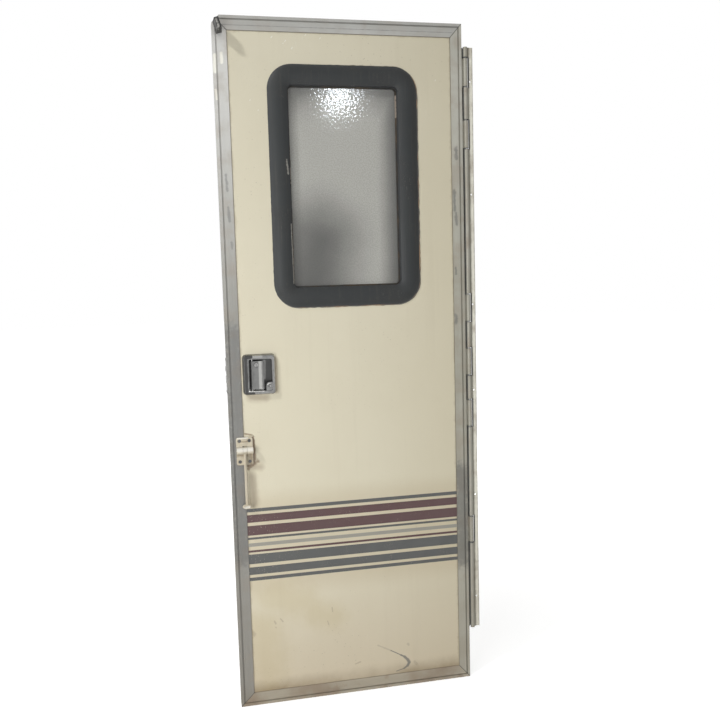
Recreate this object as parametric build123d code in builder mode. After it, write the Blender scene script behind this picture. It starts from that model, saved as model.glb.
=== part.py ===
"""Caravan entry door, taken off its vehicle with the long pin hinge still on it.

Millimetres. +X runs to the hinge side as seen from outdoors, +Y runs indoors, +Z is up.
The origin is the middle of the jamb hinge leaf's back face, which screws to the door opening.
"""
from build123d import *
import os

os.makedirs("parts", exist_ok=True)

# Door leaf, a 26 by 72 inch entry door
door_width = 660.0
door_height = 1829.0
skin_thick = 1.6
core_thick = 22.0
lining_thick = 2.6

# Frame extrusion
frame_face = 36.0
frame_wall = 1.8
frame_web = 2.0
face_depth = -3.0
lip_width = 7.5
groove_width = 4.0
groove_depth = 2.5
hinge_face = 32.0
corner_clip = 19.0
panel_clear = 0.5

# Long-knuckle hinge
hinge_length = 1618.0
hinge_rise = 44.5
leaf_thick = 2.5
jamb_leaf_width = 15.0
barrel_dia = 12.0
barrel_setback = 1.0
barrel_gap = 2.5
hinge_pin_dia = 6.0
pin_clear = 0.05
knuckle_length = 74.0
knuckle_gap = 2.0
knuckle_side_gap = 3.0
door_knuckle_mids = (743.5, 580.5, 111.0, -38.5, -183.5, -518.5)
edge_leaf_width = 24.0
web_setback = 1.0
leaf_bead_width = 2.5
leaf_bead_rise = 1.2
jamb_hole_dia = 5.0
jamb_hole_spans = (240.0, 840.0, 1440.0)

# Window
window_x = 2.0
window_drop = 428.5
sight_width = 294.0
sight_height = 522.0
sight_radius = 13.0
ring_width = 52.0
ring_crest = 12.0
ring_crest_in = 20.0
ring_shoulder = 6.0
ring_edge = 1.5
neck_wall = 5.0
neck_depth = 11.2
glass_thick = 4.0
glass_bite = 3.0
seal_leg = 2.0
seal_lap = 4.0
trim_width = 30.0
trim_thick = 4.0
trim_bevel = 2.0
window_fit = 0.3

# Paddle lock
lock_inset = 84.0
lock_z = 0.0
bezel_width = 87.0
bezel_height = 108.0
bezel_radius = 10.0
bezel_rise = 14.0
bezel_draft = 12.0
bezel_round = 3.0
dish_width = 62.0
dish_height = 84.5
dish_radius = 5.0
dish_x = 3.0
dish_z = -0.75
dish_floor_depth = 14.0
dish_wall = 3.0
lock_fit = 0.3
paddle_clear = 5.5
paddle_thick = 5.0
paddle_reach = 30.5
paddle_depth = -8.2
paddle_barrel_dia = 8.0
paddle_pin_dia = 4.0
paddle_pin_seat = 6.0
paddle_round = 1.2
grip_width = 6.0
grip_proud = 1.0
grip_hook = 4.2
paddle_key_offset = 11.0
paddle_key_z = 26.0
paddle_key_dia = 11.0
paddle_key_length = 12.5
paddle_boss_dia = 17.0
paddle_boss_depth = 6.5
bolt_key_x = 25.5
bolt_key_z = -29.0
bolt_key_dia = 12.0
bolt_key_length = 20.0
key_boss_radius = 8.0
key_boss_depth = -11.7
key_proud = 0.6
keyway_width = 1.8
keyway_height = 7.0
keyway_depth = 5.0

# Lock case, bolts and indoor furniture
case_height = 74.0
case_front = 4.0
case_thick = 15.0
case_clear = 0.5
latch_z = -10.0
latch_height = 18.0
deadbolt_z = 18.0
deadbolt_height = 14.0
bolt_thick = 11.0
bolt_length = 36.0
bolt_nose = 1.5
bolt_clear = 0.3
edge_plate_height = 96.0
edge_plate_width = 22.0
edge_plate_thick = 1.5
inner_plate_thick = 4.0
inner_plate_bevel = 1.5
lever_boss_dia = 14.0
lever_boss_length = 12.0
lever_length = 74.0
lever_width = 18.0
lever_thick = 8.0
lever_bevel = 2.5
lever_x = -8.0
lever_z = -14.0
knob_x = -8.0
knob_z = 30.0
knob_dia = 18.0
knob_length = 6.0
wing_width = 6.0
wing_height = 24.0
wing_length = 12.0
wing_bevel = 1.5

# Hold-back with its hanging arm
holder_inset = 37.5
holder_z = -203.0
holder_width = 43.5
holder_height = 74.0
holder_radius = 5.0
holder_thick = 4.0
holder_hole_dia = 4.5
holder_sink_dia = 10.0
holder_hole_span_x = 26.0
holder_hole_span_z = 56.0
lug_dia = 19.0
lug_standoff = 14.5
lug_rise = 4.0
rib_width = 8.0
rib_rise = 2.0
rib_radius = 2.5
arm_knuckle_dia = 18.0
arm_knuckle_width = 11.0
arm_side_gap = 0.5
arm_relief = 1.0
arm_reach = 158.0
arm_width = 7.5
arm_thick = 7.0
arm_head_width = 24.5
arm_head_height = 13.0
arm_hollow_width = 13.0
arm_hollow_height = 5.0
arm_hollow_depth = 2.0
arm_bevel = 1.9
holder_pin_dia = 5.0

# Corner bumper and weather seal
bumper_width = 14.0
bumper_length = 30.0
bumper_proud = 46.0
bumper_taper = 2.0
bumper_bevel = 3.0
bumper_turn = 17.0
bumper_inset_x = 14.0
bumper_inset_z = 31.0
gap_seal_width = 12.0
gap_seal_thick = 3.0
gap_seal_depth = 5.5
seal_bulb_dia = 10.0
seal_bulb_rise = 1.0
seal_inset = 18.0
seal_gap = 0.3

# Levels through the door
skin_front = face_depth + frame_wall
core_front = skin_front + skin_thick
lining_front = core_front + core_thick
lining_back = lining_front + lining_thick
back_depth = lining_back + frame_wall
neck_end = skin_front + neck_depth
glass_front = neck_end + seal_leg
seal_back = glass_front + glass_thick + seal_leg

# Places of the hinge axis and the door's middle
axis_x = -(jamb_leaf_width + barrel_dia) / 2 - barrel_setback
axis_y = -barrel_dia / 2
door_edge_x = axis_x - barrel_dia / 2 - barrel_gap
door_x = door_edge_x - door_width / 2
door_z = -hinge_rise
half_w = door_width / 2
half_h = door_height / 2
window_z = half_h - window_drop
lock_x = -half_w + lock_inset
holder_x = -half_w + holder_inset
pin_bore = hinge_pin_dia / 2 + pin_clear

# Panel outline inside the frame, in door-face coordinates
panel_left = -half_w + lip_width + groove_width + frame_web + panel_clear
panel_right = half_w - lip_width - groove_width - frame_web - panel_clear
panel_top = half_h - lip_width - groove_width - frame_web - panel_clear
panel_clip = corner_clip - (panel_left + half_w) / 2

# Window frame outlines
neck_width = sight_width + 2 * neck_wall
neck_height = sight_height + 2 * neck_wall
neck_radius = sight_radius + neck_wall
glass_width = sight_width + 2 * glass_bite
glass_height = sight_height + 2 * glass_bite
glass_radius = sight_radius + glass_bite

# Lock levels and places, in lock coordinates
bezel_front = skin_front - bezel_rise
dish_back = dish_floor_depth + dish_wall
dish_left = dish_x - dish_width / 2
dish_right = dish_x + dish_width / 2
dish_bottom = dish_z - dish_height / 2
paddle_axis_x = dish_left + paddle_clear + paddle_barrel_dia / 2
paddle_height = dish_height - 2 * paddle_clear
paddle_key_x = paddle_axis_x + paddle_key_offset
edge_x = -half_w - lock_x
case_width = dish_left - dish_wall - lock_fit - edge_x - frame_web
case_mid_x = edge_x + frame_web + case_width / 2
case_back = case_front + case_thick
bolt_mid = case_front + case_thick / 2

# Hold-back levels
lug_depth = face_depth - lug_standoff
lug_width = (holder_width - arm_knuckle_width) / 2 - arm_side_gap
holder_step_x = -half_w + frame_face - holder_x

LOW = (Align.MIN, Align.MIN)


def door_plane(depth, x=0.0, z=0.0):
    """Plane parallel to the door's face, facing outdoors: local x is +X and local y is +Z."""
    return Plane(origin=(door_x + x, depth, door_z + z), x_dir=(1, 0, 0), z_dir=(0, -1, 0))


def side_plane(x, depth=0.0, z=0.0):
    """Plane across the door, facing +X: local x is +Y and local y is +Z."""
    return Plane(origin=(door_x + x, depth, door_z + z), x_dir=(0, 1, 0), z_dir=(1, 0, 0))


def level_plane(x, depth, z):
    """Level plane facing up: local x is +X and local y is +Y."""
    return Plane(origin=(door_x + x, depth, door_z + z), x_dir=(1, 0, 0), z_dir=(0, 0, 1))


def edge_plane(x, z, inward):
    """Section plane of a frame rail: local x runs in from the door's edge, local y indoors."""
    run = Vector(*inward).cross(Vector(0, 1, 0))
    return Plane(origin=(door_x + x, 0, door_z + z), x_dir=inward, z_dir=run)


def strip(x, y, width, height, mode=Mode.ADD):
    """Rectangle of the open sketch, set by its low corner."""
    with Locations((x, y)):
        Rectangle(width, height, align=LOW, mode=mode)


def finish(piece, label):
    """Name a finished piece and write its STEP file."""
    piece.part.label = label
    export_step(piece.part, f"parts/{label}.step")


# Hinge: jamb leaf, door leaf and the one long pin

def make_jamb_leaf():
    with BuildPart() as leaf:
        with BuildSketch(Plane.XY):
            strip(axis_x, -leaf_thick, jamb_leaf_width / 2 - axis_x, leaf_thick)
            bead_x = axis_x + barrel_dia / 2 + knuckle_side_gap
            strip(bead_x, -leaf_thick - leaf_bead_rise, leaf_bead_width, leaf_bead_rise)
            with Locations((axis_x, axis_y)):
                Circle(barrel_dia / 2)
                Circle(pin_bore, mode=Mode.SUBTRACT)
        extrude(amount=hinge_length / 2, both=True)
        slot = knuckle_length / 2 + knuckle_gap
        reach = barrel_dia / 2 + knuckle_side_gap
        with BuildSketch(*[Plane.XY.offset(mid) for mid in door_knuckle_mids]):
            strip(axis_x - reach, axis_y - reach, 2 * reach, 2 * reach)
        extrude(amount=slot, both=True, mode=Mode.SUBTRACT)
        front = Plane(origin=(0, -leaf_thick, 0), x_dir=(1, 0, 0), z_dir=(0, -1, 0))
        with Locations(front):
            with Locations(*[(0, side * span / 2) for span in jamb_hole_spans for side in (-1, 1)]):
                Hole(jamb_hole_dia / 2, depth=leaf_thick)
    return leaf


def make_door_leaf():
    """Plate on the door's edge, with webs that reach out to its own knuckles on the pin."""
    with BuildPart() as leaf:
        web_front = face_depth + web_setback
        with BuildSketch(Plane.XY):
            strip(door_edge_x, web_front + leaf_thick, leaf_thick, edge_leaf_width)
        extrude(amount=hinge_length / 2, both=True)
        with BuildSketch(*[Plane.XY.offset(mid) for mid in door_knuckle_mids]):
            strip(door_edge_x, web_front, axis_x - door_edge_x, leaf_thick)
            strip(door_edge_x, web_front, leaf_thick, 2 * leaf_thick)
            with Locations((axis_x, axis_y)):
                Circle(barrel_dia / 2)
        extrude(amount=knuckle_length / 2, both=True)
        with BuildSketch(Plane.XY):
            with Locations((axis_x, axis_y)):
                Circle(pin_bore)
        extrude(amount=hinge_length / 2, both=True, mode=Mode.SUBTRACT)
    return leaf


def make_hinge_pin():
    with BuildPart() as pin:
        with BuildSketch(Plane.XY):
            with Locations((axis_x, axis_y)):
                Circle(hinge_pin_dia / 2)
        extrude(amount=hinge_length / 2, both=True)
    return pin


# Frame: four mitred aluminium extrusions round the panel

def draw_frame_section(face):
    strip(0, face_depth, frame_web, back_depth - face_depth)
    strip(0, face_depth, face, frame_wall)
    strip(0, face_depth, lip_width + groove_width + frame_web, groove_depth + frame_wall)
    strip(lip_width, face_depth, groove_width, groove_depth, Mode.SUBTRACT)
    strip(0, lining_back, face, frame_wall)


def make_rail(plane, length, face, mitres, clipped):
    with BuildPart() as rail:
        with BuildSketch(plane):
            draw_frame_section(face)
        extrude(amount=length)
        with BuildSketch(door_plane(0)):
            with BuildLine():
                Polyline(*mitres, close=True)
            make_face()
        extrude(amount=2 * back_depth, both=True, mode=Mode.INTERSECT)
        if clipped:
            with BuildSketch(door_plane(0)):
                with BuildLine():
                    Polyline(
                        (-half_w, half_h),
                        (-half_w + corner_clip, half_h),
                        (-half_w, half_h - corner_clip),
                        close=True,
                    )
                make_face()
            extrude(amount=2 * back_depth, both=True, mode=Mode.SUBTRACT)
    return rail


outer_corners = {
    "tl": (-half_w, half_h),
    "tr": (half_w, half_h),
    "bl": (-half_w, -half_h),
    "br": (half_w, -half_h),
}
inner_corners = {
    "tl": (-half_w + frame_face, half_h - frame_face),
    "tr": (half_w - hinge_face, half_h - frame_face),
    "bl": (-half_w + frame_face, -half_h + frame_face),
    "br": (half_w - hinge_face, -half_h + frame_face),
}


def mitre_outline(first, second):
    """Trapezium of one rail, from the door's outer corners to the frame's inner corners."""
    return (
        outer_corners[first],
        outer_corners[second],
        inner_corners[second],
        inner_corners[first],
    )


def make_top_rail():
    plane = edge_plane(-half_w, half_h, (0, 0, -1))
    return make_rail(plane, door_width, frame_face, mitre_outline("tl", "tr"), True)


def make_bottom_rail():
    plane = edge_plane(half_w, -half_h, (0, 0, 1))
    return make_rail(plane, door_width, frame_face, mitre_outline("bl", "br"), False)


def make_hinge_stile():
    plane = edge_plane(half_w, half_h, (-1, 0, 0))
    return make_rail(plane, door_height, hinge_face, mitre_outline("tr", "br"), False)


def make_latch_stile():
    plane = edge_plane(-half_w, -half_h, (1, 0, 0))
    stile = make_rail(plane, door_height, frame_face, mitre_outline("tl", "bl"), True)
    with BuildPart() as bored:
        add(stile.part)
        with BuildSketch(side_plane(-half_w, bolt_mid, lock_z)):
            for z, height in ((latch_z, latch_height), (deadbolt_z, deadbolt_height)):
                with Locations((0, z)):
                    Rectangle(bolt_thick + 2 * bolt_clear, height + 2 * bolt_clear)
        extrude(amount=frame_web, mode=Mode.SUBTRACT)
    return bored


# Panel: outdoor skin, foam core and indoor lining, all cut for the window and the lock

def make_sheet(back, thick, case_pocket):
    with BuildPart() as sheet:
        with BuildSketch(door_plane(back)) as outline:
            strip(panel_left, -panel_top, panel_right - panel_left, 2 * panel_top)
            corner = outline.vertices().group_by(Axis.X)[0].sort_by(Axis.Y)[-1]
            chamfer(corner, panel_clip)
            with Locations((window_x, window_z)):
                RectangleRounded(
                    neck_width + 2 * window_fit,
                    neck_height + 2 * window_fit,
                    neck_radius + window_fit,
                    mode=Mode.SUBTRACT,
                )
            with Locations((lock_x + dish_x, lock_z + dish_z)):
                Rectangle(
                    dish_width + 2 * (dish_wall + lock_fit),
                    dish_height + 2 * (dish_wall + lock_fit),
                    mode=Mode.SUBTRACT,
                )
            if case_pocket:
                pocket = case_height + 2 * case_clear
                strip(
                    panel_left,
                    lock_z - pocket / 2,
                    lock_x + dish_left - panel_left,
                    pocket,
                    Mode.SUBTRACT,
                )
        extrude(amount=thick)
    return sheet


# Window: crowned outdoor ring, glass in a channel seal, indoor trim ring

def window_plane(depth):
    return door_plane(depth, window_x, window_z)


def make_window_ring():
    with BuildPart() as ring:
        with BuildLine(window_plane(skin_front)) as track:
            Polyline(
                (sight_width / 2, 0),
                (sight_width / 2, -sight_height / 2),
                (-sight_width / 2, -sight_height / 2),
                (-sight_width / 2, sight_height / 2),
                (sight_width / 2, sight_height / 2),
                close=True,
            )
            ends = track.vertices().group_by(Axis.Z)
            fillet(ends[0] + ends[-1], sight_radius)
        start = Plane(
            origin=(door_x + window_x + sight_width / 2, skin_front, door_z + window_z),
            x_dir=(1, 0, 0),
            z_dir=(0, 0, -1),
        )
        with BuildSketch(start):
            with BuildLine():
                Line((0, -neck_depth), (0, ring_shoulder))
                ThreePointArc(
                    (0, ring_shoulder),
                    (ring_crest_in, ring_crest),
                    (ring_width, ring_edge),
                )
                Polyline(
                    (ring_width, ring_edge),
                    (ring_width, 0),
                    (neck_wall, 0),
                    (neck_wall, -neck_depth),
                    (0, -neck_depth),
                )
            make_face()
        sweep(path=track.wire())
    return ring


def make_window_glass():
    with BuildPart() as glass:
        with BuildSketch(window_plane(glass_front + glass_thick)):
            RectangleRounded(glass_width, glass_height, glass_radius)
        extrude(amount=glass_thick)
    return glass


def make_glazing_seal():
    with BuildPart() as seal:
        with BuildSketch(window_plane(seal_back)):
            RectangleRounded(neck_width, neck_height, neck_radius)
            RectangleRounded(
                sight_width - 2 * seal_lap,
                sight_height - 2 * seal_lap,
                sight_radius - seal_lap,
                mode=Mode.SUBTRACT,
            )
        extrude(amount=seal_back - neck_end)
        with BuildSketch(window_plane(glass_front + glass_thick)):
            RectangleRounded(
                glass_width + 2 * window_fit,
                glass_height + 2 * window_fit,
                glass_radius + window_fit,
            )
        extrude(amount=glass_thick, mode=Mode.SUBTRACT)
    return seal


def make_window_trim():
    with BuildPart() as trim:
        with BuildSketch(window_plane(lining_back + trim_thick)):
            RectangleRounded(
                sight_width + 2 * trim_width,
                sight_height + 2 * trim_width,
                sight_radius + trim_width,
            )
        extrude(amount=trim_thick)
        chamfer(trim.faces().sort_by(Axis.Y)[-1].edges(), trim_bevel)
        with BuildSketch(window_plane(lining_back)):
            RectangleRounded(neck_width, neck_height, neck_radius)
        extrude(amount=lining_back - seal_back)
        with BuildSketch(window_plane(lining_back + trim_thick)):
            RectangleRounded(sight_width, sight_height, sight_radius)
        extrude(amount=lining_back + trim_thick - seal_back, mode=Mode.SUBTRACT)
    return trim


# Paddle lock: die-cast housing with its finger dish, paddle, pin and two key plugs

def lock_plane(depth):
    return door_plane(depth, lock_x, lock_z)


def make_lock_housing():
    with BuildPart() as housing:
        with BuildSketch(lock_plane(skin_front)):
            RectangleRounded(bezel_width, bezel_height, bezel_radius)
        extrude(amount=bezel_rise, taper=bezel_draft)
        fillet(housing.faces().sort_by(Axis.Y)[0].edges(), bezel_round)
        with BuildSketch(lock_plane(dish_back)):
            with Locations((dish_x, dish_z)):
                RectangleRounded(
                    dish_width + 2 * dish_wall,
                    dish_height + 2 * dish_wall,
                    dish_radius + dish_wall,
                )
        extrude(amount=dish_back - skin_front)
        with BuildSketch(lock_plane(dish_floor_depth)):
            with Locations((dish_x, dish_z)):
                RectangleRounded(dish_width, dish_height, dish_radius)
        extrude(amount=dish_floor_depth - bezel_front, mode=Mode.SUBTRACT)
        with BuildSketch(lock_plane(dish_floor_depth)):
            with Locations((bolt_key_x, bolt_key_z)):
                Circle(key_boss_radius)
            foot = bolt_key_z - dish_bottom
            strip(bolt_key_x - key_boss_radius, dish_bottom, dish_right - bolt_key_x, foot)
            strip(bolt_key_x, dish_bottom, dish_right - bolt_key_x, foot + key_boss_radius)
            with Locations((dish_x, dish_z)):
                RectangleRounded(
                    dish_width + dish_wall,
                    dish_height + dish_wall,
                    dish_radius + dish_wall / 2,
                    mode=Mode.INTERSECT,
                )
        extrude(amount=dish_floor_depth - key_boss_depth)
        with BuildSketch(lock_plane(key_boss_depth - key_proud + bolt_key_length)):
            with Locations((bolt_key_x, bolt_key_z)):
                Circle(bolt_key_dia / 2 + pin_clear)
        extrude(amount=bolt_key_length + bezel_rise, mode=Mode.SUBTRACT)
        with BuildSketch(level_plane(lock_x + paddle_axis_x, paddle_depth, lock_z + dish_z)):
            Circle(paddle_pin_dia / 2 + pin_clear)
        extrude(amount=dish_height / 2 + paddle_pin_seat, both=True, mode=Mode.SUBTRACT)
    return housing


def make_lock_paddle():
    with BuildPart() as paddle:
        with BuildSketch(lock_plane(paddle_depth)):
            strip(paddle_axis_x, dish_z - paddle_height / 2, paddle_reach, paddle_height)
        extrude(amount=paddle_thick)
        grip_x = paddle_axis_x + paddle_reach - grip_width
        with BuildSketch(lock_plane(paddle_depth + grip_hook)):
            strip(grip_x, dish_z - paddle_height / 2, grip_width, paddle_height)
        extrude(amount=paddle_thick + grip_hook + grip_proud)
        fillet(paddle.edges().filter_by(Axis.Z).group_by(Axis.X)[-1], paddle_round)
        with BuildSketch(level_plane(lock_x + paddle_axis_x, paddle_depth, lock_z + dish_z)):
            Circle(paddle_barrel_dia / 2)
        extrude(amount=paddle_height / 2, both=True)
        with BuildSketch(lock_plane(paddle_depth + paddle_boss_depth)):
            with Locations((paddle_key_x, paddle_key_z)):
                Circle(paddle_boss_dia / 2)
        extrude(amount=paddle_boss_depth)
        with BuildSketch(lock_plane(paddle_depth + paddle_boss_depth)):
            with Locations((paddle_key_x, paddle_key_z)):
                Circle(paddle_key_dia / 2 + pin_clear)
        extrude(amount=paddle_boss_depth + 2 * paddle_thick, mode=Mode.SUBTRACT)
        with BuildSketch(level_plane(lock_x + paddle_axis_x, paddle_depth, lock_z + dish_z)):
            Circle(paddle_pin_dia / 2 + pin_clear)
        extrude(amount=paddle_height, both=True, mode=Mode.SUBTRACT)
    return paddle


def make_paddle_pin():
    with BuildPart() as pin:
        with BuildSketch(level_plane(lock_x + paddle_axis_x, paddle_depth, lock_z + dish_z)):
            Circle(paddle_pin_dia / 2)
        extrude(amount=dish_height / 2 + paddle_pin_seat, both=True)
    return pin


def make_key_plug(x, z, dia, front, length):
    with BuildPart() as plug:
        with BuildSketch(lock_plane(front + length)):
            with Locations((x, z)):
                Circle(dia / 2)
        extrude(amount=length)
        with BuildSketch(lock_plane(front)):
            with Locations((x, z)):
                Rectangle(keyway_width, keyway_height)
        extrude(amount=-keyway_depth, mode=Mode.SUBTRACT)
    return plug


# Lock case in the panel, its bolts drawn back, and the furniture on the indoor side

def make_lock_case():
    with BuildPart() as case:
        with BuildSketch(lock_plane(case_back)):
            with Locations((case_mid_x, 0)):
                Rectangle(case_width, case_height)
        extrude(amount=case_thick)
        with BuildSketch(side_plane(-half_w + frame_web, bolt_mid, lock_z)):
            for z, height in ((latch_z, latch_height), (deadbolt_z, deadbolt_height)):
                with Locations((0, z)):
                    Rectangle(bolt_thick + 2 * bolt_clear, height + 2 * bolt_clear)
        extrude(amount=bolt_length, mode=Mode.SUBTRACT)
    return case


def make_bolt(z, height):
    with BuildPart() as bolt:
        start = -half_w - edge_plate_thick - bolt_nose
        with BuildSketch(side_plane(start, bolt_mid, lock_z + z)):
            Rectangle(bolt_thick, height)
        extrude(amount=bolt_length + edge_plate_thick + bolt_nose + frame_web)
        fillet(bolt.faces().sort_by(Axis.X)[0].edges(), bolt_nose / 2)
    return bolt


def make_edge_plate():
    with BuildPart() as plate:
        with BuildSketch(side_plane(-half_w - edge_plate_thick, bolt_mid, lock_z)):
            SlotOverall(edge_plate_height, edge_plate_width, rotation=90)
            for z, height in ((latch_z, latch_height), (deadbolt_z, deadbolt_height)):
                with Locations((0, z)):
                    Rectangle(
                        bolt_thick + 2 * bolt_clear,
                        height + 2 * bolt_clear,
                        mode=Mode.SUBTRACT,
                    )
        extrude(amount=edge_plate_thick)
    return plate


def make_inner_plate():
    with BuildPart() as plate:
        with BuildSketch(lock_plane(lining_back + inner_plate_thick)):
            RectangleRounded(bezel_width, bezel_height, bezel_radius)
        extrude(amount=inner_plate_thick)
        chamfer(plate.faces().sort_by(Axis.Y)[-1].edges(), inner_plate_bevel)
    return plate


def make_inner_lever():
    seat = lining_back + inner_plate_thick
    with BuildPart() as lever:
        with BuildSketch(lock_plane(seat + lever_boss_length)):
            with Locations((lever_x, lever_z)):
                Circle(lever_boss_dia / 2)
        extrude(amount=lever_boss_length)
        with BuildSketch(lock_plane(seat + lever_boss_length + lever_thick)):
            with Locations((lever_x + (lever_length - lever_width) / 2, lever_z)):
                SlotOverall(lever_length, lever_width)
        extrude(amount=lever_thick)
        chamfer(lever.faces().sort_by(Axis.Y)[-1].edges(), lever_bevel)
    return lever


def make_inner_knob():
    seat = lining_back + inner_plate_thick
    with BuildPart() as knob:
        with BuildSketch(lock_plane(seat + knob_length)):
            with Locations((knob_x, knob_z)):
                Circle(knob_dia / 2)
        extrude(amount=knob_length)
        with BuildSketch(lock_plane(seat + knob_length + wing_length)):
            with Locations((knob_x, knob_z)):
                SlotOverall(wing_height, wing_width, rotation=90)
        extrude(amount=wing_length)
        chamfer(knob.faces().sort_by(Axis.Y)[-1].edges(), wing_bevel)
    return knob


# Hold-back: stepped base with two lugs, its pin and the arm that hangs from it

def holder_plane(depth):
    return door_plane(depth, holder_x, holder_z)


def make_holder_base():
    with BuildPart() as base:
        with BuildSketch(holder_plane(face_depth)):
            RectangleRounded(holder_width, holder_height, holder_radius)
        extrude(amount=holder_thick)
        with BuildSketch(holder_plane(skin_front)):
            RectangleRounded(holder_width, holder_height, holder_radius)
            step = holder_step_x + window_fit
            strip(step, -holder_height / 2, holder_width, holder_height, Mode.INTERSECT)
        extrude(amount=skin_front - face_depth)
        for x in (-holder_width / 2, holder_width / 2 - lug_width):
            with BuildSketch(side_plane(holder_x + x, lug_depth, holder_z + lug_rise)):
                Circle(lug_dia / 2)
                strip(0, -lug_dia / 2, lug_standoff - holder_thick, lug_dia)
            extrude(amount=lug_width)
        with BuildSketch(holder_plane(skin_front)):
            with Locations((0, lug_rise)):
                Rectangle(
                    arm_knuckle_width + 2 * arm_side_gap,
                    arm_knuckle_dia + 2 * arm_relief,
                )
        extrude(amount=skin_front - face_depth + holder_thick, mode=Mode.SUBTRACT)
        rib_low = lug_rise + arm_knuckle_dia / 2 + arm_relief
        rib_length = holder_height / 2 - holder_radius - rib_low
        with BuildSketch(holder_plane(face_depth - holder_thick)):
            with Locations((0, rib_low + rib_length / 2)):
                RectangleRounded(rib_width, rib_length, rib_radius)
        extrude(amount=rib_rise)
        with BuildSketch(side_plane(holder_x, lug_depth, holder_z + lug_rise)):
            Circle(holder_pin_dia / 2 + pin_clear)
        extrude(amount=holder_width, both=True, mode=Mode.SUBTRACT)
        with Locations(holder_plane(face_depth - holder_thick)):
            with GridLocations(holder_hole_span_x, holder_hole_span_z, 2, 2):
                CounterSinkHole(holder_hole_dia / 2, holder_sink_dia / 2)
    return base


def make_holder_pin():
    with BuildPart() as pin:
        with BuildSketch(side_plane(holder_x, lug_depth, holder_z + lug_rise)):
            Circle(holder_pin_dia / 2)
        extrude(amount=holder_width / 2, both=True)
    return pin


def make_holder_arm():
    with BuildPart() as arm:
        with BuildSketch(holder_plane(lug_depth + arm_thick / 2)):
            with Locations((0, lug_rise)):
                Rectangle(arm_width, arm_reach, align=(Align.CENTER, Align.MAX))
            with Locations((0, lug_rise - arm_reach + arm_head_height / 2)):
                Ellipse(arm_head_width / 2, arm_head_height / 2)
        extrude(amount=arm_thick)
        chamfer(arm.faces().sort_by(Axis.Y)[0].edges(), arm_bevel)
        chamfer(arm.faces().sort_by(Axis.Y)[-1].edges(), arm_bevel)
        with BuildSketch(holder_plane(lug_depth - arm_thick / 2)):
            with Locations((0, lug_rise - arm_reach + arm_head_height / 2)):
                Ellipse(arm_hollow_width / 2, arm_hollow_height / 2)
        extrude(amount=-arm_hollow_depth, mode=Mode.SUBTRACT)
        with BuildSketch(side_plane(holder_x, lug_depth, holder_z + lug_rise)):
            Circle(arm_knuckle_dia / 2)
        extrude(amount=arm_knuckle_width / 2, both=True)
        with BuildSketch(side_plane(holder_x, lug_depth, holder_z + lug_rise)):
            Circle(holder_pin_dia / 2 + pin_clear)
        extrude(amount=arm_knuckle_width, both=True, mode=Mode.SUBTRACT)
    return arm


# Corner bumper over the clipped mitre, and the weather seal on the indoor flange

def make_corner_bumper():
    with BuildPart() as bumper:
        x, z = -half_w + bumper_inset_x, half_h - bumper_inset_z
        with BuildSketch(door_plane(face_depth, x, z)):
            Rectangle(bumper_width, bumper_length, rotation=bumper_turn)
        extrude(amount=bumper_proud, taper=bumper_taper)
        chamfer(bumper.faces().sort_by(Axis.Y)[0].edges(), bumper_bevel)
    return bumper


def make_hinge_gap_seal():
    """Flat rubber lip on the door leaf, behind the hinge barrel."""
    with BuildPart() as lip:
        with BuildSketch(Plane.XY):
            strip(door_edge_x + leaf_thick, gap_seal_depth, gap_seal_width, gap_seal_thick)
        extrude(amount=hinge_length / 2, both=True)
    return lip


def make_weather_strip(plane, length):
    with BuildPart() as strip_part:
        with BuildSketch(plane):
            with Locations((seal_inset, back_depth + seal_bulb_rise)):
                Circle(seal_bulb_dia / 2)
            half = seal_bulb_dia / 2
            strip(seal_inset - half, back_depth, 2 * half, 2 * half, Mode.INTERSECT)
        extrude(amount=length)
    return strip_part


seal_side = door_height - 2 * (seal_inset - seal_bulb_dia / 2)
seal_across = door_width - 2 * (seal_inset + seal_bulb_dia / 2 + seal_gap)
seal_x = half_w - seal_inset - seal_bulb_dia / 2 - seal_gap
seal_z = seal_side / 2

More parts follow.
